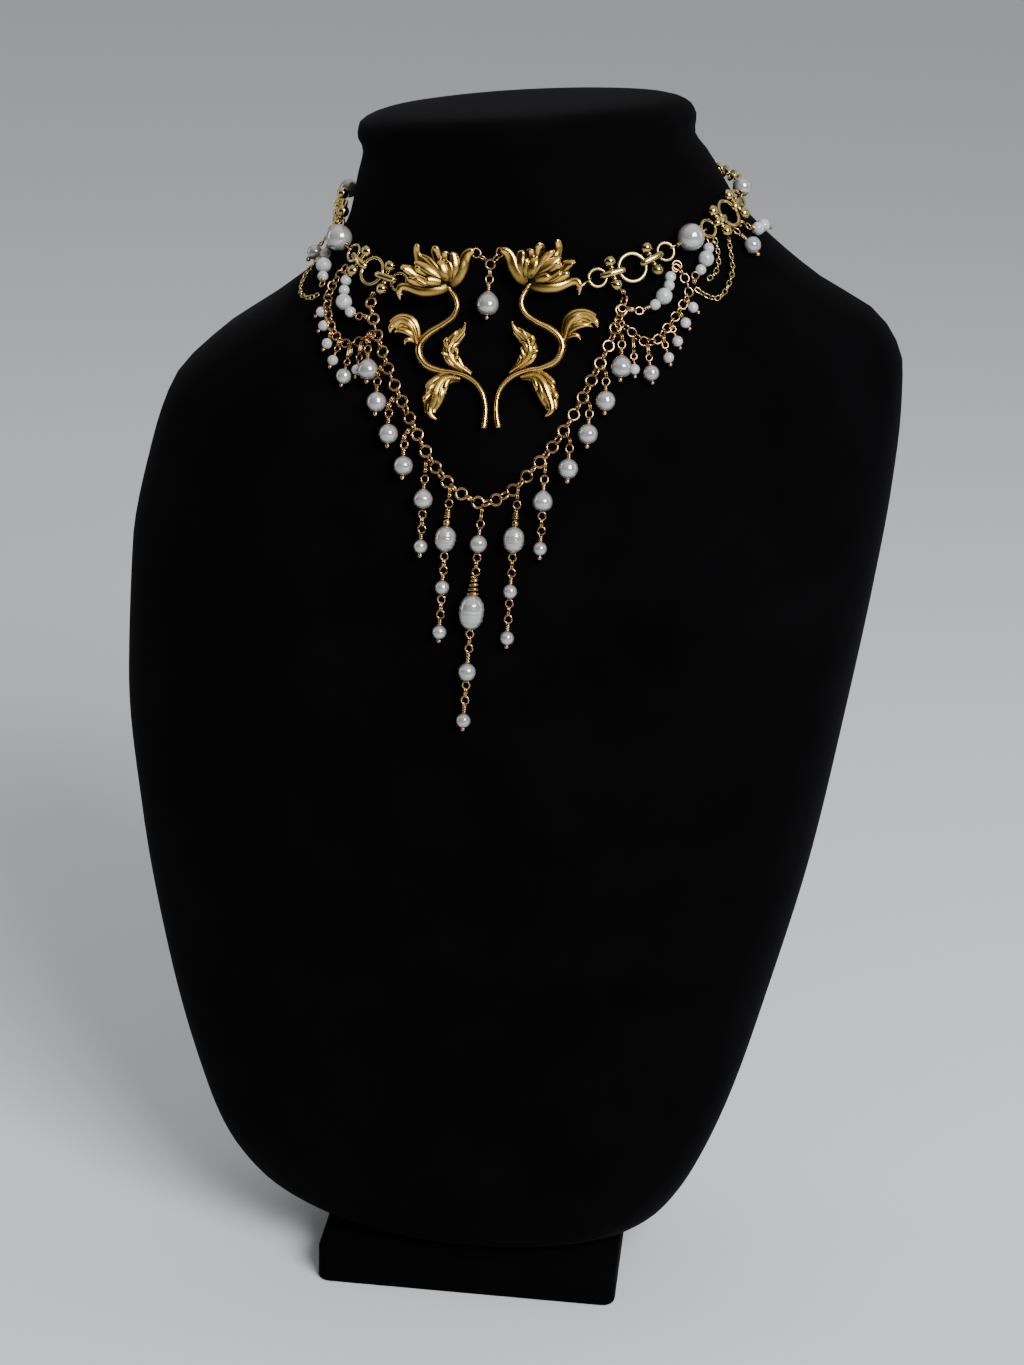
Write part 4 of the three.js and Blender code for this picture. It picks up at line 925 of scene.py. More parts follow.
# A bright value is the share of a sheet's half width left without painted shade.
PETAL_SPREAD, PETAL_CROWN, PETAL_UNSHADED = 1.3, 0.55, 0.58
LOBE_CROWN = 0.7
LOBE_BACK = {"spread": 1.75, "below": 0.45, "crown": 0.35, "bright": 0.72}
OUTER_LEAF = {"from": 19, "share": 0.8}
COLLAR_FLAT, COLLAR_TURN = (1, 0.42, 0.85), math.radians(30)
BLOOM = {"size": (10.6, 5.8, 3.4), "at": (15.0, 16.6, 0.9)}


def stem_width(share):
    """Thin under the bloom, fullest at the leaves, thin again, and flared at the foot."""
    return 1.4 + 0.8 * math.sin(math.pi * min(share * 1.25, 1)) ** 2 + 0.5 * max(share - 0.93, 0) / 0.07


def build_flower(side):
    bm = bmesh.new()
    # A layer of painted shade for each point.
    depth = bm.verts.layers.float.new("painted_shade")
    out = Vector((0, 0, 1))
    stem = through([Vector((u, v, 0.3)) for u, v in STEM_ROUTE], 0.45)
    widths = [stem_width(i / (len(stem) - 1)) for i in range(len(stem))]
    add_tube(bm, stem, widths, sides=12, flat=0.62, out=out)
    # The flat stem, the only thing made so far, is painted with shade: a dark band beside the bright
    # ridge.
    for v in bm.verts:
        v[depth] = 0.7
    ridge = [spot + out * (0.12 * width) for spot, width in zip(stem, widths)]
    add_tube(bm, ridge, [0.8 * width for width in widths], sides=12, out=out)
    for lean, table in PETALS.values():
        wide = [(u, v, PETAL_SPREAD * half, height) for u, v, half, height in table]
        add_sheet(bm, lean, wide, PETAL_CROWN, bright=PETAL_UNSHADED)
    for name, (lean, table) in LOBES.items():
        if side < 0 and name.startswith("outer"):
            # The left flower's outer leaf is drawn in a little: squeezed across towards its start, so it
            # reaches less far.
            start, share = OUTER_LEAF["from"], OUTER_LEAF["share"]
            table = [(start + share * (u - start), v, half, height) for u, v, half, height in table]
        add_sheet(bm, lean, table, LOBE_CROWN)
        # Body and band lobes get a wider, lower backing sheet, painted with shade at its edges and root,
        # and a rib.
        if name.endswith(("body", "band")):
            spread, below = LOBE_BACK["spread"], LOBE_BACK["below"]
            back = [(u, v, spread * half, height - below) for u, v, half, height in table[:-2]]
            add_sheet(bm, 0, back, LOBE_BACK["crown"], bright=LOBE_BACK["bright"])
            rib = through([Vector((u, v, height + 0.75 * half)) for u, v, half, height in table], 0.4)
            add_tube(bm, rib, [0.6 - 0.35 * i / len(rib) for i in range(len(rib))], sides=6, out=out)
    for shift, width in ((0, 2.3), (-0.9, 2.0)):
        collar = add_ball(bm, width, 14, 8)
        bmesh.ops.scale(bm, vec=COLLAR_FLAT, verts=collar)
        bmesh.ops.rotate(bm, verts=collar, cent=(0, 0, 0), matrix=Matrix.Rotation(COLLAR_TURN, 3, "Z"))
        bmesh.ops.translate(bm, verts=collar, vec=(11.0 + 0.5 * shift, 13.8 + 0.9 * shift, 0.9))
    bloom = add_ball(bm, 1, 24, 12)
    bmesh.ops.scale(bm, vec=BLOOM["size"], verts=bloom)
    bmesh.ops.translate(bm, verts=bloom, vec=BLOOM["at"])
    # The dome under the petals is painted fully in shade, dark in the gaps between them.
    for v in bloom:
        v[depth] = 1.0
    bmesh.ops.transform(bm, matrix=FLOWER_PLANE[side], verts=bm.verts)
    if side < 0:
        bmesh.ops.reverse_faces(bm, faces=bm.faces)
    tag = side_name(side)
    return finish(f"stamped_flower_{tag}", bm, [ANTIQUE_BRASS], [f"flower_{tag}"])


for side in SIDES:
    flower = build_flower(side)
    print(flower.name, len(flower.data.polygons), "faces")

# %% [markdown]
# ## The band
# From each flower a row of stock parts runs round the neck: a small ring, a ball link, a large
# ring, a ball link, a small ring, a big pearl, then the same rings again behind it. They could be
# placed one by one by eye. A real band is a line of known length, though, so each part is given
# its distance along one curve round the neck, and that curve supplies the place and direction.

# %% The band's curve
BAND_OUT, BACK_OUT = 2.8, 3.8
BAND_STEP = 0.5
# (degrees from the middle of the front, height before the choker's tilt)
BAND_RISE = [
    (0, 316.5), (15, 317.2), (30, 318.7), (42, 321), (50, 323.9), (57, 326.5), (65, 328.5),
    (74, 331), (82, 333.2), (90, 335.4), (105, 337.5), (120, 338.5), (150, 339.5), (180, 340),
]
BAND_AT = {
    "inner_ring": 28.2, "connector_a": 32.6, "large_ring": 38.3, "connector_b": 44.3,
    "outer_ring": 49, "side_pearl": 56.9, "side_ring": 64.8, "side_link": 69.8,
    "side_large_ring": 75.6, "side_link_2": 81.4, "side_ring_2": 86.4,
}
NECK_PEARL_AT = {-1: 94.3, 1: 92.8}
SIDE_PEARL, NECK_PEARL = 7.6, 5.6
RING_REACH = 2.45    # from a small ring's middle to the middle of its wire


def band_curve(side):
    points = []
    for angle in range(0, 181, 5):
        i = max(k for k in range(len(BAND_RISE) - 1) if BAND_RISE[k][0] <= angle)
        (a0, z0), (a1, z1) = BAND_RISE[i], BAND_RISE[i + 1]
        rise = z0 + (z1 - z0) * (angle - a0) / (a1 - a0)
        t = min(max((angle - 75) / 25, 0), 1)
        out = BAND_OUT + (BACK_OUT - BAND_OUT) * t * t * (3 - 2 * t)
        level_point = around(angle * side, rise, out)
        points.append(around(angle * side, rise + level_point.x * math.tan(CHOKER_TILT), out))
    return through(points, BAND_STEP)


BAND = {side: band_curve(side) for side in SIDES}
BAND_LENGTH = {side: length_of(curve) for side, curve in BAND.items()}


def station(side, distance):
    """(point, direction to the right, up, outwards) at a distance along the band."""
    point, way = walk(BAND[side], [distance])[0]
    along = way * side
    out = outward_at(point)
    out = (out - along * out.dot(along)).normalized()
    return point, along, out.cross(along), out


print("choker length:", round(sum(BAND_LENGTH.values())), "mm")

# %% Ball links
def ball_link_shape(length):
    """A thick oval link lying level, with a ball above and below it on a short post."""
    bm = bmesh.new()
    oval = ring_shape(3.9, 1.25, length, segments=28, sides=10)
    stamp(bm, oval, Matrix.Rotation(math.pi / 2, 4, "Y") @ Matrix.Rotation(math.pi / 2, 4, "Z"))
    bmesh.ops.scale(bm, vec=(1, 1, 1.45), verts=bm.verts)
    for end in (-1, 1):
        post = bmesh.ops.create_cone(
            bm, cap_ends=True, segments=12, radius1=0.75, radius2=0.75, depth=3.2)["verts"]
        bmesh.ops.translate(bm, verts=post, vec=(0, 0.2, end * 1.7))
        stamp(bm, CONNECTOR_BALL, Matrix.Translation((0, 0.2, end * 3.35)))
    saddle = add_ball(bm, 2.5)
    bmesh.ops.scale(bm, vec=(1.25, 1.1, 0.85), verts=saddle)
    bmesh.ops.translate(bm, verts=saddle, vec=(0, 0.5, 0))
    return ready("ball_link", bm)


BALL_LINK = ball_link_shape(8.0)
SIDE_BALL_LINK = ball_link_shape(6.2)


def at_station(side, distance):
    point, _, up, out = station(side, distance)
    return place(point, up, out)


for side in SIDES:
    tag = side_name(side)
    for node, shape in (
        ("inner_ring", RING), ("outer_ring", RING), ("large_ring", LARGE_RING),
        ("connector_a", BALL_LINK), ("connector_b", BALL_LINK),
    ):
        bm = bmesh.new()
        stamp(bm, shape, at_station(side, BAND_AT[node]))
        finish(f"{node}_{tag}_gold", bm, [PALE_GOLD], [f"{node}_{tag}"])
    bm = bmesh.new()
    for key, shape in (
        ("side_ring", RING), ("side_link", SIDE_BALL_LINK), ("side_large_ring", LARGE_RING),
        ("side_link_2", SIDE_BALL_LINK), ("side_ring_2", RING),
    ):
        stamp(bm, shape, at_station(side, BAND_AT[key]))
    finish(f"side_chain_{tag}_gold", bm, [PALE_GOLD], [f"side_chain_{tag}"])
print("band parts:", len(pieces), "pieces so far")

# %% Band pearls
def band_pearl(side, distance, width, reach_out, name, node):
    """A pearl on a wire with a wrapped loop at each end; it rests on the velvet."""
    point, along, up, out = station(side, distance)
    lift = max(width / 2 + 1 - BAND_OUT, 0)
    centre = point + out * lift
    bm = bmesh.new()
    add_bead(bm, place(centre, along, out), width, width, seed=distance, grooves=0.008)
    for end in (-1, 1):
        eye = point + along * (end * reach_out)
        stamp(bm, LOOP, place(eye, along, up), 1)
        surface = centre + (eye - centre).normalized() * (width / 2 - 0.2)
        inner = eye - (eye - centre).normalized() * 1.2
        middle, span = (surface + inner) / 2, (inner - surface).length
        fit = stretched(1.15, max(span, 0.8) / WRAP_LENGTH)
        stamp(bm, WRAP, place(middle, inner - surface, out) @ fit, 1)
    return finish(name, bm, [PEARL, WARM_GOLD], [node])


for side in SIDES:
    tag = side_name(side)
    reach_out = (BAND_AT["side_ring"] - BAND_AT["outer_ring"] - 2 * RING_REACH) / 2
    band_pearl(side, BAND_AT["side_pearl"], SIDE_PEARL, reach_out, f"big_pearl_{tag}", f"side_pearl_{tag}")
    reach_out = NECK_PEARL_AT[side] - BAND_AT["side_ring_2"] - RING_REACH
    band_pearl(side, NECK_PEARL_AT[side], NECK_PEARL, reach_out, f"small_pearl_{tag}", f"neck_pearl_{tag}")

# %% [markdown]
# ## Chains
# Each chain is a run of one link, turned about 68 degrees and back by turns, with a little
# unevenness. A Curve modifier on an Array would bend the links themselves, and a real link never
# bends. So the route is measured, divided into whole links, and a stiff link is stamped at each
# place.

# %% Laying a chain
ROLO_PITCH, FINE_PITCH, CABLE_PITCH = 2.62, 2.05, 1.55
ROUTE_STEP = 0.5
LINK_TURN, LINK_SWAY = 68, 9    # degrees


def add_chain(bm, curve, link_shape, pitch, first=0):
    """Links along a run of points, every other one turned. Returns how many there are."""
    total = length_of(curve)
    count = max(1, round(total / pitch))
    spots = walk(curve, [total * (i + 0.5) / count for i in range(count)])
    for i, (point, way) in enumerate(spots):
        turn = LINK_TURN * ((i + first) % 2) + LINK_SWAY * math.sin(2.3 * i)
        stamp(bm, link_shape, place(point, way, outward_at(point), turn))
    return count


V_OUT = 2.2
# The V of rolo chain, from under each large ring to the lowest point, as (x, z). Both halves end
# in the same point.
V_ROUTES = {
    1: [(35.2, 316.4), (34.4, 312.7), (31.8, 304), (27.9, 295.2), (23.7, 286.2), (18.9, 278.2),
        (12.6, 270.4), (9.1, 266.5), (4.8, 263.5), (0.35, 261.7)],
    -1: [(-35.6, 311.4), (-34.6, 308), (-32.7, 303.1), (-30.6, 298.8), (-27.7, 293), (-24.6, 288),
         (-19.7, 280.2), (-14.4, 272.1), (-8.1, 265.7), (-4, 263.4), (0.35, 261.7)],
}
for side, rows in V_ROUTES.items():
    tag = side_name(side)
    curve = through([on_front(x, z, V_OUT) for x, z in rows], ROUTE_STEP)
    bm = bmesh.new()
    count = add_chain(bm, curve, ROLO, ROLO_PITCH, first=side > 0)
    _, _, up, out = station(side, BAND_AT["large_ring"])
    across = Vector((1, 0, 0))
    for shift in (-0.3, 0.3):
        stamp(bm, JUMP, place(curve[0] + up * 1.4 + across * shift, up, across + out * 0.2))
    finish(f"rolo_chain_{tag}", bm, [WARM_GOLD], [f"v_chain_{tag}"])
    print(f"V chain {tag}: {count} links")

# %% Back chain and clasp
CLASP_LENGTH = 12
for side in SIDES:
    tag = side_name(side)
    start = NECK_PEARL_AT[side] + (NECK_PEARL_AT[side] - BAND_AT["side_ring_2"] - RING_REACH) + 1.4
    end = BAND_LENGTH[side] - CLASP_LENGTH / 2 + 0.6
    count = round((end - start) / ROUTE_STEP)
    distances = [start + (end - start) * i / count for i in range(count + 1)]
    bm = bmesh.new()
    add_chain(bm, [spot for spot, _ in walk(BAND[side], distances)], ROLO, ROLO_PITCH)
    finish(f"nape_chain_{tag}", bm, [PALE_GOLD], [f"back_chain_{tag}"])

bm = bmesh.new()
nape = BAND[1][-1]
# The clasp's outline from its middle to its end: (distance along, radius).
BARREL = [
    (0, 2.25), (1.2, 2.25), (1.5, 2.0), (1.8, 2.3), (3.4, 2.1), (4.4, 1.5), (5.0, 0.8), (5.6, 0.7),
]
outline = [(-x, r) for x, r in reversed(BARREL[1:])] + BARREL
verts = [bm.verts.new((x, 0, r)) for x, r in outline]
profile = [bm.edges.new(pair) for pair in zip(verts, verts[1:])]
bmesh.ops.spin(
    bm, geom=verts + profile, cent=(0, 0, 0), axis=(1, 0, 0), angle=2 * math.pi, steps=28,
    use_merge=True, use_duplicate=False)
bmesh.ops.holes_fill(bm, edges=[e for e in bm.edges if e.is_boundary], sides=28)
bmesh.ops.recalc_face_normals(bm, faces=bm.faces)
bmesh.ops.translate(bm, verts=bm.verts, vec=(0, nape.y, nape.z))
finish("barrel_clasp", bm, [PALE_GOLD], ["clasp"])

# %% [markdown]
# ## Pearls on wire
# Every drop is threaded the same way: a loop bent in the wire, three turns wound round its neck,
# the pearl, and either another loop or the ball of a headpin. A small doubled jump ring joins one
# loop to the next, edge on. Writing that grammar once, as rules between neighbours, gives all of
# the drops their joints, and each table only says where the loops and pearls are.

# %% Threading
PEARL_INDEX, WIRE_INDEX = 0, 1    # the materials of a drop or a strand
BEADS = ("round", "oval", "drop")


def add_strand(bm, spots):
    """Loops, pearls and pin ends along a thread, and what joins each to the next."""
    for i, spot in enumerate(spots):
        before, after = spots[max(i - 1, 0)]["point"], spots[min(i + 1, len(spots) - 1)]["point"]
        up = (before - after).normalized()
        spot["out"] = outward_at(spot["point"])
        matrix = place(spot["point"], up, spot["out"])
        kind = spot["kind"]
        if kind == "loop":
            stamp(bm, LOOP, matrix, WIRE_INDEX)
        elif kind == "jump":
            stamp_doubled_ring(bm, place(spot["point"], up, spot["out"], 90), WIRE_INDEX)
        elif kind == "cone":
            fit = stretched(spot["width"] / CONE_WIDTH, spot["length"] / CONE_LENGTH)
            stamp(bm, CONE_WRAP, matrix @ fit, WIRE_INDEX)
        elif kind == "ball":
            stamp(bm, WIRE_BALL, matrix, WIRE_INDEX)
        elif kind in BEADS:
            add_bead(
                bm, matrix, spot["width"], spot["length"], kind, spot.get("grooves", 0.01),
                seed=spot["point"].x, material=PEARL_INDEX,
            )
    for a, b in zip(spots, spots[1:]):
        join(bm, a, b)


def half_height(spot):
    """Half a bead's length, or about half of a loop for anything else."""
    return spot["length"] / 2 if "length" in spot else 1.2


def join(bm, a, b):
    """The wire between two neighbours on a thread."""
    way = (b["point"] - a["point"]).normalized()
    top, foot = a["point"] + way * half_height(a), b["point"] - way * half_height(b)
    gap = (b["point"] - a["point"]).length - half_height(a) - half_height(b)
    middle, out = (top + foot) / 2, a["out"]
    from_bead, to_bead = a["kind"] in BEADS, b["kind"] in BEADS
    from_loop, to_loop = a["kind"] == "loop", b["kind"] == "loop"
    if b["kind"] == "end":
        if from_bead:
            stamp(bm, PIN_HEAD, place(top + way * 0.55, -way, out), WIRE_INDEX)
    elif from_loop and to_loop:
        fit = stretched(1, max(gap + 1.5, 1.6) / JUMP_LENGTH)
        stamp_doubled_ring(bm, place(middle, -way, out, 90) @ fit, WIRE_INDEX)
    elif from_loop and to_bead and gap > 0.2:
        fit = stretched(1, (gap + 0.4) / WRAP_LENGTH)
        stamp(bm, WRAP, place(middle, -way, out) @ fit, WIRE_INDEX)
    elif from_bead and to_loop and gap > 0.5:
        fit = stretched(0.8, (gap + 0.3) / WRAP_LENGTH)
        stamp(bm, WRAP, place(middle, -way, out) @ fit, WIRE_INDEX)
    elif from_bead and to_bead and gap > 0.3:
        ends = [top - way * 0.3, foot + way * 0.3]
        add_tube(bm, ends, 0.6, sides=6, material=WIRE_INDEX, out=out)


def seat_out(width):
    """How far a bead's middle stands off the velvet."""
    return max(width / 2 + 0.5, 1.9)


print("threading rules ready")

# %% Short drops
SHORT_KEYS = ("side", "x", "z", "ring_above", "ring_shift", "width", "length", "kind")
SHORT_DROPS = [
    ("left", -34.1, 294.3, 6.6, -0.8, 5.6, 6.2, "drop"),
    ("left", -30.8, 286.3, 6.8, -0.4, 5.6, 5.6, "round"),
    ("left", -26.8, 278.5, 7.0, -0.4, 5.5, 5.5, "round"),
    ("left", -22, 270.6, 7.2, -0.2, 5.4, 5.4, "round"),
    ("right", 35.6, 298.9, 7.2, -0.4, 5.8, 6.4, "drop"),
    ("right", 32, 290, 6.6, -0.4, 5.6, 5.6, "round"),
    ("right", 27.9, 281.5, 6.8, 0, 5.6, 5.6, "round"),
    ("right", 23.2, 272.4, 7.0, 0, 5.6, 5.6, "round"),
]
counts = {"left": 0, "right": 0}
for row in SHORT_DROPS:
    drop = dict(zip(SHORT_KEYS, row))
    counts[drop["side"]] += 1
    out = seat_out(drop["width"])
    # Two doubled rings climb towards the V chain, which runs up and away from the middle.
    toward = 0.9 if drop["side"] == "left" else -0.9
    spots = []
    for kind, up, aside in (("jump", 1.7, toward), ("jump", 0.2, 0), ("loop", -1.7, 0)):
        above = drop["ring_above"] + up
        x = drop["x"] + drop["ring_shift"] * above / 7 + aside
        spots.append({"kind": kind, "point": on_front(x, drop["z"] + above, out)})
    spots.append({"kind": drop["kind"], "width": drop["width"], "length": drop["length"], "grooves": 0.025,
                  "point": on_front(drop["x"], drop["z"], out)})
    spots.append({"kind": "end", "point": on_front(drop["x"], drop["z"] - drop["length"] / 2 - 1.2, out)})
    bm = bmesh.new()
    add_strand(bm, spots)
    tag = f"{drop['side']}_{counts[drop['side']]}"
    finish(f"pearl_drop_{tag}", bm, [PEARL, WARM_GOLD], [f"short_drop_{tag}"])
print("short drops:", counts)

# %% Long drops
# Each: x and z of its top, how far its end drifts sideways, then (what, how far below, width, length).
LONG_DROPS = {
    "outer_left": (-15.9, 267.8, -0.2, [
        ("jump", -1.8), ("loop", 0.4), ("drop", 5.4, 5.3, 5.6), ("loop", 9.7), ("loop", 13.8),
        ("round", 18.4, 3.9, 3.9), ("end", 21.1)]),
    "inner_left": (-8.9, 261.6, -1, [
        ("jump", -1.9), ("loop", 0.3), ("cone", 3.0, 2, 3.0), ("ball", 5.2, 2.3, 2.3),
        ("oval", 9.4, 5.9, 7.2), ("loop", 14.2),
        ("loop", 18.2), ("round", 22.8, 4, 4), ("loop", 26.2), ("loop", 30.4), ("round", 35.4, 4, 4),
        ("end", 38.4)]),
    "centre": (0.2, 257.8, -2.7, [
        ("jump", -0.7), ("loop", 1.3), ("round", 6.5, 4.9, 4.9), ("loop", 10.3), ("loop", 14.2),
        ("cone", 17.8, 3, 6.2), ("oval", 24.8, 7.1, 10), ("loop", 31.2), ("loop", 35.6),
        ("round", 42.3, 5.1, 5.1), ("loop", 46.3), ("loop", 50.8), ("round", 56.7, 4.1, 4.1),
        ("end", 59.9)]),
    "inner_right": (9.8, 262.4, -0.9, [
        ("jump", -1.9), ("loop", 0.3), ("cone", 3.0, 2, 3.0), ("ball", 5.1, 2.3, 2.3),
        ("oval", 9.3, 5.9, 7.3), ("loop", 14.2),
        ("loop", 18.5), ("round", 23.5, 4, 4), ("loop", 26.9), ("loop", 31.3), ("round", 36.6, 4, 4),
        ("end", 39.5)]),
    "outer_right": (16.9, 269.6, -0.1, [
        ("jump", -1.8), ("loop", 0.4), ("drop", 5.8, 5.4, 5.9), ("loop", 10.0), ("loop", 14.1),
        ("round", 18.8, 3.9, 3.9), ("end", 21.5)]),
}
for tag, (x, z, drift, rows) in LONG_DROPS.items():
    reach_down = rows[-1][1]
    rows = [("jump", rows[0][1] - 1.5), *rows]
    widths = [0, *(size[0] if size else 0 for _, _, *size in rows), 0]
    spots = []
    for i, (kind, below, *size) in enumerate(rows):
        # Beside a pearl the thread stands out from the velvet almost as far as the pearl's middle.
        out = seat_out(max(0.75 * widths[i], widths[i + 1], 0.75 * widths[i + 2]))
        spot = {"kind": kind, "point": on_front(x + drift * below / reach_down, z - below, out)}
        if size:
            spot.update(width=size[0], length=size[1], grooves=0.03 if size[0] > 5 else 0.015)
        spots.append(spot)
    bm = bmesh.new()
    add_strand(bm, spots)
    finish(f"long_drop_{tag}", bm, [PEARL, WARM_GOLD], [f"drop_{tag}"])
print("long drops:", ", ".join(LONG_DROPS))

# %% Between the flowers
bm = bmesh.new()
CENTRE_X = -1.9
PETAL_TIP = Vector((3.6, 23.2, 2.0))
ring_point = on_front(CENTRE_X, 323.6, 2.4)
ring_up = Vector((0, 0, 1))
ring_out = outward_at(ring_point)
stamp(bm, LOOP, place(ring_point, ring_up, ring_out) @ Matrix.Diagonal((1.25, 1.1, 1.15, 1)))
for side in SIDES:
    tip = FLOWER_PLANE[side] @ PETAL_TIP
    landing = ring_point + ring_up * 0.9 + Vector((side * 1.0, 0, 0))
    way = landing - tip
    for share, turn in ((0.18, 20), (0.68, 110)):
        stamp(bm, FINE_LINK, place(tip + way * share, way, ring_out, turn * side))
finish("centre_rings", bm, [WARM_GOLD], ["centre_links"])

bm = bmesh.new()
spots = [
    {"kind": "jump", "point": on_front(CENTRE_X, 321.5, 2.4)},
    {"kind": "loop", "point": on_front(CENTRE_X, 319.7, 2.8)},
    {"kind": "drop", "width": 6, "length": 6.8, "point": on_front(CENTRE_X, 313.6, 3.5)},
    {"kind": "end", "point": on_front(CENTRE_X, 309.4, 3.2)},
]
add_strand(bm, spots)
finish("centre_pearl", bm, [PEARL, WARM_GOLD], ["centre_drop"])

HOOK = Vector((24.5, 12.8, 1.4))
for side in SIDES:
    hook = FLOWER_PLANE[side] @ HOOK
    point, along, up, out = station(side, BAND_AT["inner_ring"])
    wire_point = point - along * (side * RING_REACH)
    way = wire_point - hook
    bm = bmesh.new()
    fit = Matrix.Diagonal((1.2, 1, (way.length + 2.4) / LOOP_LENGTH, 1))
    stamp(bm, LOOP, place((hook + wire_point) / 2, way, up) @ fit)
    tag = f"jump_ring_{side_name(side)}"
    finish(f"{tag}_wire", bm, [WARM_GOLD], [tag])
print("centre and hook rings made")

# %% [markdown]
# ## Bead strands and swags at the sides
# Short strands of milky beads close the loops between the band and the V. Two chain swags below
# them carry six beads each, and three finer chains hang beside them. They hang close together, so
# each route is given as angles round the neck and heights, and the velvet's own surface keeps
# them apart from it.

# %% Bead strands
# Each: how far it stands out, then (degrees, height, what, width, length).
BEAD_STRANDS = {
    "right_1": (2.4, [
        (36.3, 313.4, "loop"), (40.2, 312.8, "loop"), (44.2, 314.4, "round", 3.1),
        (46.5, 316.6, "round", 4.6), (48.6, 319.2, "round", 3.1), (49.6, 321.4, "round", 3.1),
        (51.6, 323.6, "loop")]),
    "right_2": (2.6, [
        (54.4, 320.2, "jump"), (55.2, 321.6, "loop"), (57, 323, "round", 3.1),
        (59.4, 325.7, "round", 4.5), (61.4, 328.2, "round", 3.1), (63, 330.4, "loop")]),
    "right_3": (2.4, [
        (75.5, 333.2, "jump"), (77.4, 332.2, "loop"), (80.5, 331.2, "round", 3.8),
        (84.6, 331.4, "round", 3.8), (88, 330.6, "loop"), (90, 330, "end")]),
    "left_1": (2.4, [
        (-38.6, 306.8, "jump"), (-40.6, 306.7, "loop"), (-43.9, 307.4, "round", 3.1),
        (-47.2, 309.6, "round", 4.6), (-50, 312.2, "round", 3.1), (-51.6, 314.6, "round", 3.1),
        (-52.8, 317, "loop")]),
    "left_2": (2.95, [
        (-59, 312.6, "loop"), (-61.4, 314.2, "round", 3.1), (-65.2, 316.6, "round", 4.5),
        (-69, 319.2, "round", 3.1), (-71.4, 321.4, "loop")]),
}
CABLE_PEARLS = {
    "right": (2.2, [(72.4, 331.6, "loop"), (73.2, 328, "round", 4.8), (73, 324.6, "end")]),
    "left": (3.05, [(-80, 321.8, "loop"), (-80, 317.6, "round", 4.4), (-80, 314.5, "end")]),
}


def strand_piece(name, node, out, rows, bead):
    spots = []
    for angle, z, kind, *width in rows:
        wide = width[0] if width else 0
        spot = {"kind": kind, "point": around(angle, z, max(out, seat_out(wide)))}
        if width:
            spot.update(width=wide, length=wide)
        spots.append(spot)
    bm = bmesh.new()
    add_strand(bm, spots)
    return finish(name, bm, [bead, WARM_GOLD], [node])


for tag, (out, rows) in BEAD_STRANDS.items():
    strand_piece(f"milk_beads_{tag}", f"bead_strand_{tag}", out, rows, MILKY)
for tag, (out, rows) in CABLE_PEARLS.items():
    strand_piece(f"side_pearl_drop_{tag}", f"cable_pearl_{tag}", out, rows, PEARL)

# %% Swags
SWAG_OUT, CABLE_OUT = 2.0, 1.8
# Each: the chain's route, then (top degrees, top height, bead degrees, bead height, width).
BEAD_SWAGS = {
    "right": (
        [(34.4, 309.8), (36.8, 308.2), (38.4, 306.2), (39.9, 305), (42.1, 305.1), (44, 307),
         (46.4, 309.6), (49.6, 313.4), (52.8, 317.6), (53, 321.2), (52.2, 325)],
        [(37.6, 306.4, 36.5, 297.9, 3), (40.4, 304.9, 39.4, 297.2, 4.5), (44, 307, 44, 301, 3),
         (46.4, 309.6, 46.6, 305.2, 3), (48.8, 312.6, 49.4, 309.8, 3), (51.2, 315.6, 52.2, 313.6, 3)]),
    "left": (
        [(-34.6, 303), (-36.8, 301.2), (-38.4, 300.1), (-40.6, 299.5), (-43.8, 300.6),
         (-48.2, 303.8), (-53.4, 308.6), (-56, 312.4), (-55.8, 315.4), (-55.4, 318)],
        [(-37, 301, -35.2, 293.4, 3), (-39.4, 299.8, -37.2, 291.6, 4.4), (-42.6, 300.2, -41.9, 295, 3),
         (-46, 302.2, -45.6, 298.8, 3), (-49.2, 304.8, -49.6, 302.8, 3), (-52.2, 307.4, -53, 305.9, 3)]),
}
SMALL_PIN = ball_shape(1.2, 10, 8)
ROOM_FOR_A_LOOP = 3.6
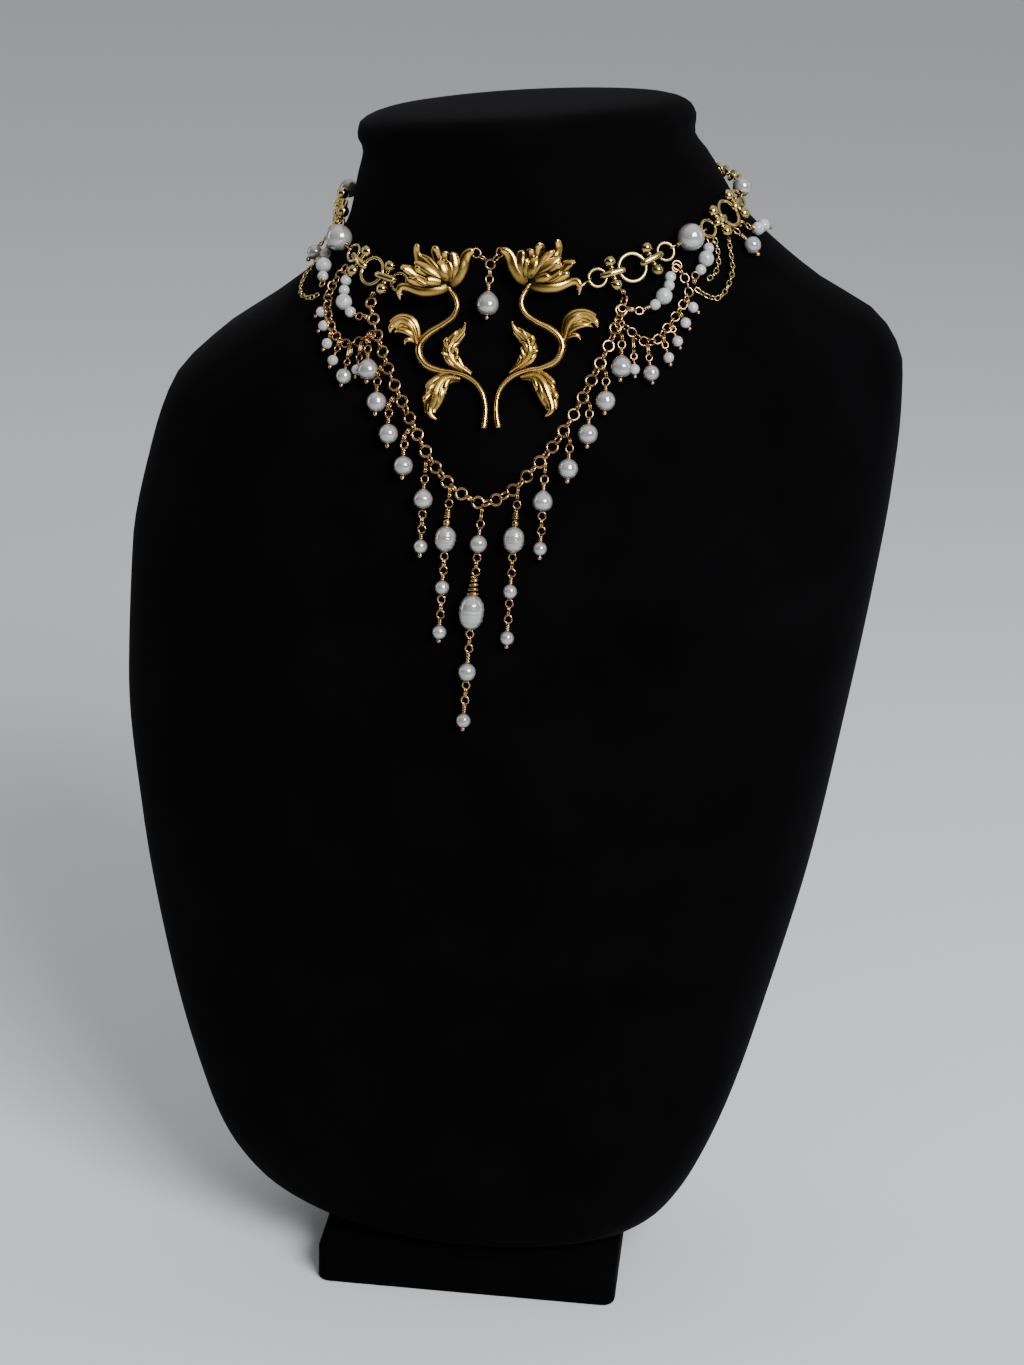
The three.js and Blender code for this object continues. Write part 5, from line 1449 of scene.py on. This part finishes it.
for tag, (route, drops) in BEAD_SWAGS.items():
    bm = bmesh.new()
    curve = through([around(angle, z, SWAG_OUT) for angle, z in route], ROUTE_STEP)
    add_chain(bm, curve, FINE_LINK, FINE_PITCH)
    for top_angle, top_z, angle, z, width in drops:
        top, point = around(top_angle, top_z, SWAG_OUT), around(angle, z, seat_out(width))
        way = (point - top).normalized()
        out = outward_at(point)
        bead_top = point - way * (width / 2)
        room = (bead_top - top).length
        # A doubled ring reaches from the swag to the bead's own loop, or to the bead itself.
        has_loop = room > ROOM_FOR_A_LOOP
        reach = max(room - (2.6 if has_loop else 0), 1.9)
        fit = stretched(1, reach / JUMP_LENGTH)
        stamp_doubled_ring(bm, place(top + way * (reach / 2), -way, out, 90) @ fit)
        if has_loop:
            stamp(bm, LOOP, place(bead_top - way * 2.1, -way, out) @ Matrix.Diagonal((0.85, 1, 0.8, 1)))
            stamp(bm, WRAP, place(bead_top - way * 0.5, -way, out) @ stretched(0.75, 0.75))
        add_bead(bm, place(point, -way, out), width, width, seed=angle, material=2 if width > 4 else 1)
        stamp(bm, SMALL_PIN, place(point + way * (width / 2 + 0.5), -way, out))
    finish(f"bead_fringe_{tag}", bm, [WARM_GOLD, MILKY, PEARL], [f"bead_swag_{tag}"])

CABLE_SWAGS = {
    "right_1": [(54.6, 318.2), (55.6, 317), (56.8, 316), (58.2, 315.7), (59.8, 316.7), (62.4, 319.4),
                (64.8, 322.3), (67.6, 327.4), (69, 330)],
    "right_2": [(58.2, 320.4), (60, 321.4), (62.4, 324), (64.2, 327.4), (65.2, 330.4)],
    "left": [(-74.5, 322.6), (-76, 319), (-76, 316), (-74.8, 313.2), (-69, 309.8), (-65, 308.4),
             (-60.6, 308.4), (-58.8, 309.6)],
}
for tag, route in CABLE_SWAGS.items():
    curve = through([around(angle, z, CABLE_OUT) for angle, z in route], ROUTE_STEP)
    bm = bmesh.new()
    add_chain(bm, curve, CABLE_LINK, CABLE_PITCH)
    finish(f"cable_chain_{tag}", bm, [PALE_GOLD], [f"cable_swag_{tag}"])
print("pieces:", len(pieces))

# %% [markdown]
# ## Checking the size
# The CAD model sets the size, so the visual's own box is measured against it before the script
# ends.

# %% Sizes and the end
triangles = sum(len(p.vertices) - 2 for piece in pieces for p in piece.data.polygons)
print("triangles:", triangles)
shown_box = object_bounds()
growth = [[round((b - a) / MM, 2) for a, b in zip(*pair)] for pair in zip(cad_box, shown_box)]
print("grown by, mm:", growth)
